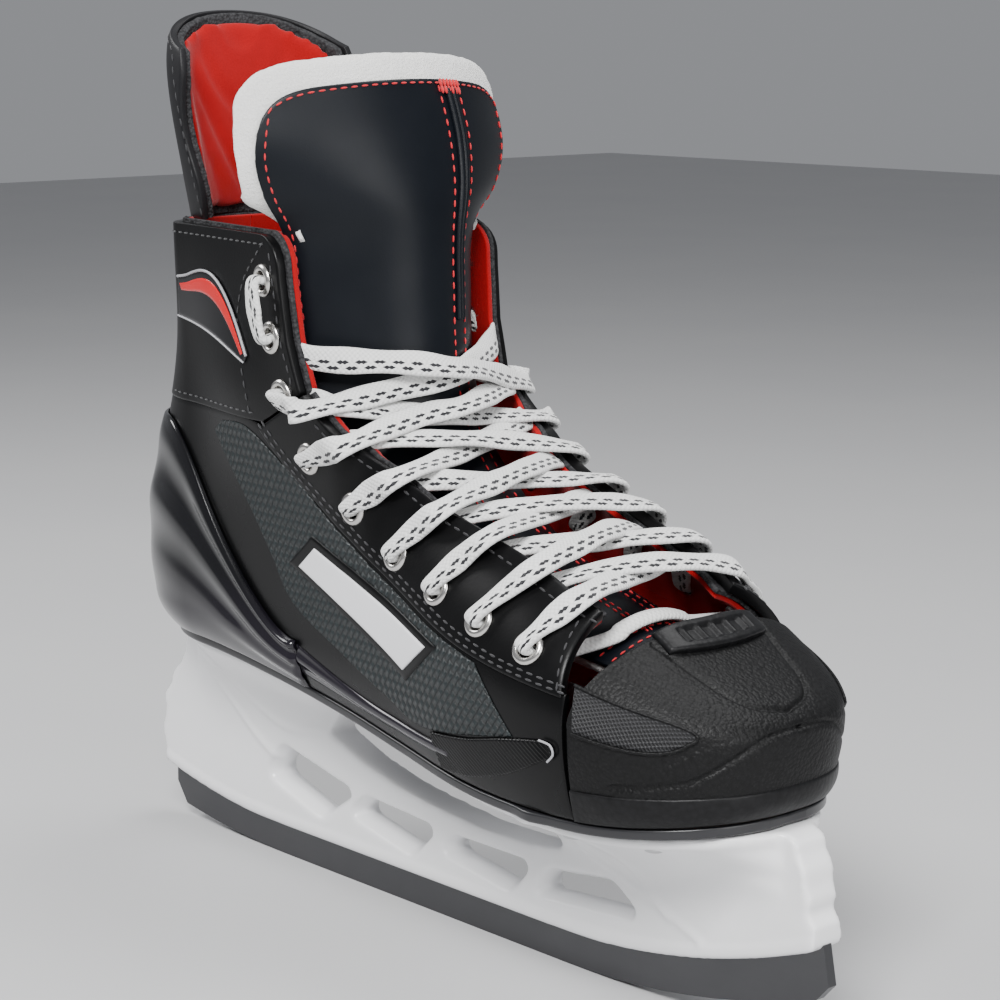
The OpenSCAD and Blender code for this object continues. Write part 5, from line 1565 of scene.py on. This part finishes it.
def relief(obj):
    """Moulded lines and raised fields on the holder's sides."""
    lines = [[(-118, 66), (-104, 52), (-92, 40), (-80, 33)], [(-104, 66), (-90, 52), (-74, 44), (-58, 46)],
             [(62, 58), (76, 44), (84, 34), (92, 26)], [(52, 44), (66, 36), (84, 30), (104, 22)]]
    n = len(obj.data.vertices)
    co = np.zeros(n * 3)
    obj.data.vertices.foreach_get("co", co)
    co = co.reshape(-1, 3) / MM
    no = np.zeros(n * 3)
    obj.data.vertices.foreach_get("normal", no)
    no = no.reshape(-1, 3)
    h = np.zeros(n)
    for line in lines:
        path = spline(line, np.linspace(0, len(line) - 1, 160))
        d = np.full(n, 99.0)
        for p in path:
            d = np.minimum(d, np.hypot(co[:, 0] - p[0], co[:, 2] - p[1]))
        h += 0.55 * np.exp(-(d / 1.25) ** 2)
    edge = co[:, 2] - slot_line(co[:, 0])
    h += 0.35 * ease((4.2 - edge) / 0.8) * ease(edge / 0.8)
    co += no * (h * (np.abs(no[:, 1]) > 0.3))[:, None]
    obj.data.vertices.foreach_set("co", (co * MM).ravel())
    obj.data.update()


# ---------------------------------------------------------------- operators, one a group
class SkateSettings(bpy.types.PropertyGroup):
    """Colours that a user may change before building."""
    black: bpy.props.FloatVectorProperty(name="Leather", subtype="COLOR", default=(0.002, 0.002, 0.0022),
                                         min=0, max=1)
    weave: bpy.props.FloatVectorProperty(name="Weave", subtype="COLOR", default=(0.010, 0.0165, 0.018),
                                         min=0, max=1)
    red: bpy.props.FloatVectorProperty(name="Lining", subtype="COLOR", default=(0.40, 0.0, 0.003), min=0,
                                       max=1)
    holder: bpy.props.FloatVectorProperty(name="Holder", subtype="COLOR", default=(0.88, 0.88, 0.89), min=0,
                                          max=1)
    steel: bpy.props.FloatVectorProperty(name="Steel", subtype="COLOR", default=(0.11, 0.11, 0.115), min=0,
                                         max=1)
    tongue: bpy.props.FloatVectorProperty(name="Tongue", subtype="COLOR", default=(0.0022, 0.0032, 0.0052),
                                          min=0, max=1)


class SkateSizes(bpy.types.PropertyGroup):
    """Sizes of the visual pieces, in millimetres."""
    lace_width: bpy.props.FloatProperty(name="Lace width", default=7.4, min=5, max=9)
    lace_thick: bpy.props.FloatProperty(name="Lace thickness", default=2.1, min=1, max=3)
    stitch_length: bpy.props.FloatProperty(name="Stitch length", default=2.3, min=1, max=5)
    stitch_thick: bpy.props.FloatProperty(name="Thread thickness", default=0.62, min=0.3, max=1)
    weave_lift: bpy.props.FloatProperty(name="Weave patch height", default=0.4, min=0.1, max=1)
    holder_net: bpy.props.FloatProperty(name="Holder mesh size", default=0.85, min=0.6, max=2)


def dress_nodes():
    """Finishes for the frame's own parts that stay in view."""
    finishes = {"runner": "steel", "runner_bolt_front": "zinc", "runner_bolt_rear": "zinc",
                "bolt_washers": "zinc",
                "bolt_nuts": "zinc", "rivet_burrs": "zinc", "insole_board": "board", "liner_toe": "guard"}
    for node, finish in finishes.items():
        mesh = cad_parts[node].data
        mesh.materials.clear()
        mesh.materials.append(mat(finish))


class SKATE_OT_materials(bpy.types.Operator):
    """Make every procedural material and dress the frame's own metal parts"""
    bl_idname = "skate.materials"
    bl_label = "Materials"

    def execute(self, context):
        make_materials(context.scene.skate)
        dress_nodes()
        return {"FINISHED"}


class SKATE_OT_boot(bpy.types.Operator):
    """Quarters, facings, cuffs, lining, plates and badges on both sides"""
    bl_idname = "skate.boot"
    bl_label = "Boot sides"

    def execute(self, context):
        for s in (LATERAL, MEDIAL):
            boot_side(s, context.scene.skate_sizes)
            ankle_padding(s)
        heel_ridges()
        return {"FINISHED"}


class SKATE_OT_toe(bpy.types.Operator):
    """Toe cap, rand, mesh leaves and top tab"""
    bl_idname = "skate.toe"
    bl_label = "Toe"

    def execute(self, context):
        toe_cap()
        toe_bumper()
        toe_tab()
        for s in (LATERAL, MEDIAL):
            toe_leaf(s)
        return {"FINISHED"}


class SKATE_OT_soles(bpy.types.Operator):
    """Outsole plate and cupped footbed"""
    bl_idname = "skate.soles"
    bl_label = "Soles"

    def execute(self, context):
        outsole = sole_plate("outsole_plate", -0.2, -3.0, 0.0, mat("outsole"))
        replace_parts(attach(outsole, "root"), "outsole")
        bed = sole_plate("footbed_pad", 8.2, 4.9, 8.9, mat("footbed"), 3.0)
        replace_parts(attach(bed, "root"), "footbed")
        return {"FINISHED"}


class SKATE_OT_tongue(bpy.types.Operator):
    """Leather-faced felt tongue and the tendon guard"""
    bl_idname = "skate.tongue"
    bl_label = "Tongue and guard"

    def execute(self, context):
        tongue_pieces()
        guard_pieces()
        return {"FINISHED"}


class SKATE_OT_laces(bpy.types.Operator):
    """Eyelets and the flat lace drawn through them"""
    bl_idname = "skate.laces"
    bl_label = "Laces"

    def execute(self, context):
        eyelet_pieces()
        lace_pieces(context.scene.skate_sizes)
        return {"FINISHED"}


class SKATE_OT_holder(bpy.types.Operator):
    """Plastic holder and the rivets under its flange"""
    bl_idname = "skate.holder"
    bl_label = "Holder"

    def execute(self, context):
        holder(context.scene.skate_sizes.holder_net)
        dome = [(0.0, -1.9), (1.6, -1.8), (2.9, -1.3), (3.7, -0.4), (3.8, 0.0), (2.0, 0.1), (2.0, 6.5),
                (0.0, 6.5)]
        for name, xs in (("front", (34, 58, 82, 106)), ("rear", (-104, -84, -64))):
            places = [(x, s * (float(half_w(x, sole_z(x))) - 9.5), float(sole_z(x)) - 6.2) for x in xs
                      for s in (LATERAL, MEDIAL)]
            part = turned("rivet", [(max(r, 0.02), h) for r, h in dome], 24)
            piece = studs("rivet_heads_" + name, places, [(0, 0, 1)] * len(places), part, "zinc")
            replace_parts(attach(piece, "root"), "holder_rivets_" + name)
        return {"FINISHED"}


class SKATE_OT_stitching(bpy.types.Operator):
    """Rows of stitches on facings, cuffs and quarters"""
    bl_idname = "skate.stitching"
    bl_label = "Stitching"

    def execute(self, context):
        for s in (LATERAL, MEDIAL):
            throat, seam = THROAT[3:], SEAM
            inner = [tuple(mix(np.array(a, float), np.array(b, float), 0.10)) for a, b in zip(throat, seam)]
            outer = [tuple(mix(np.array(a, float), np.array(b, float), 0.93)) for a, b in zip(throat, seam)]
            outer2 = [tuple(mix(np.array(a, float), np.array(b, float), 0.85)) for a, b in zip(throat, seam)]
            rows = [side_line(s, inner, 0.85, 200), side_line(s, outer, 0.85, 200), side_line(s, outer2,
                0.85, 200),
                    side_line(s, [(84.0, 108), (88.2, 94.5)], 0.85, 30),
                    side_line(s, [(-31.5, 195), (-30, 186), (-28, 172), (-24, 160), (-26, 154)], 0.4, 60),
                    side_line(s, [(-45, 149.2), (-60, 149.2), (-78, 149.2), (-96, 149.2)], 0.4, 60),
                    side_line(s, [(-36, 198.2), (-50, 198.2), (-66, 198.2), (-82, 198.2), (-94, 198.2)],
                              0.4, 80),
                    side_line(s, [(-36, 198), (-48, 186), (-52, 172), (-48, 158), (-46, 150)], 0.4, 80)]
            sizes = context.scene.skate_sizes
            piece = stitches("edge_stitches_" + side_name(s), rows, "thread_dark", sizes.stitch_length, 1.2,
                             sizes.stitch_thick)
            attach(piece, "root")
        return {"FINISHED"}


class SKATE_OT_stage(bpy.types.Operator):
    """Pale floor, soft lights and the camera"""
    bl_idname = "skate.stage"
    bl_label = "Stage"

    def execute(self, context):
        build_stage()
        return {"FINISHED"}


def build_stage():
    """Pale seamless floor, three soft lights and the camera."""
    floor_mat = Mat("floor", Roughness=0.6, Specular_IOR_Level=0.2)
    n = floor_mat.noise(6.0, 3.0)
    floor_mat.feed(Base_Color=floor_mat.colour(n, (0.50, 0.50, 0.51), (0.54, 0.54, 0.54)))
    bpy.ops.mesh.primitive_plane_add(size=6, location=(0, 0, 0))
    floor = bpy.context.object
    floor.name = "floor"
    floor.data.materials.append(floor_mat.m)
    world = bpy.data.worlds.new("studio")
    world.use_nodes = True
    world.node_tree.nodes["Background"].inputs[0].default_value = (0.93, 0.95, 1.0, 1)
    world.node_tree.nodes["Background"].inputs[1].default_value = 0.3
    bpy.context.scene.world = world
    for name, place, size, power, aim in (("key", (0.55, -0.75, 0.95), 0.45, 24, (0.02, 0, 0.12)),
                                          ("fill", (1.25, -0.1, 0.5), 0.7, 8, (0.02, 0, 0.1)),
                                          ("rear", (-0.75, -0.35, 0.75), 0.4, 6, (-0.05, 0, 0.15)),
                                          ("top", (0.1, 0.35, 1.1), 0.5, 7, (0.02, 0, 0.1))):
        data = bpy.data.lights.new(name, "AREA")
        data.energy, data.size = power, size
        light = bpy.data.objects.new(name, data)
        bpy.context.scene.collection.objects.link(light)
        light.location = place
        light.rotation_euler = (Vector(aim) - Vector(place)).to_track_quat("-Z", "Y").to_euler()
    az, el, far = math.radians(48), math.radians(10.5), 0.729
    target = Vector((0.0194, 0, 0.1295))
    back = Vector((math.sin(az) * math.cos(el), -math.cos(az) * math.cos(el), math.sin(el)))
    data = bpy.data.cameras.new("camera")
    data.lens = 93.6
    data.shift_y = -0.006
    cam = bpy.data.objects.new("camera", data)
    bpy.context.scene.collection.objects.link(cam)
    cam.location = target + back * far
    cam.rotation_euler = (-back).to_track_quat("-Z", "Y").to_euler()
    bpy.context.scene.camera = cam


class SKATE_PT_panel(bpy.types.Panel):
    """Buttons and colours for the skate"""
    bl_label = "Ice skate"
    bl_idname = "SKATE_PT_panel"
    bl_space_type = "VIEW_3D"
    bl_region_type = "UI"
    bl_category = "Skate"

    def draw(self, context):
        for name in ("black", "weave", "red", "holder", "steel", "tongue"):
            self.layout.prop(context.scene.skate, name)
        for name in ("lace_width", "lace_thick", "stitch_length", "stitch_thick", "weave_lift", "holder_net"):
            self.layout.prop(context.scene.skate_sizes, name)
        for operator in OPERATORS:
            self.layout.operator(operator.bl_idname)


OPERATORS = (SKATE_OT_materials, SKATE_OT_holder, SKATE_OT_soles, SKATE_OT_boot, SKATE_OT_toe,
             SKATE_OT_tongue,
             SKATE_OT_laces, SKATE_OT_stitching, SKATE_OT_stage)
CLASSES = (SkateSettings, SkateSizes, *OPERATORS, SKATE_PT_panel)


def register():
    for c in CLASSES:
        bpy.utils.register_class(c)
    bpy.types.Scene.skate = bpy.props.PointerProperty(type=SkateSettings)
    bpy.types.Scene.skate_sizes = bpy.props.PointerProperty(type=SkateSizes)


def unregister():
    del bpy.types.Scene.skate_sizes
    del bpy.types.Scene.skate
    for c in reversed(CLASSES):
        bpy.utils.unregister_class(c)


def main():
    register()
    bpy.ops.skate.materials()
    bpy.ops.skate.holder()
    bpy.ops.skate.soles()
    bpy.ops.skate.boot()
    bpy.ops.skate.toe()
    bpy.ops.skate.tongue()
    bpy.ops.skate.laces()
    bpy.ops.skate.stitching()
    bpy.ops.skate.stage()


if __name__ == "__main__":
    main()
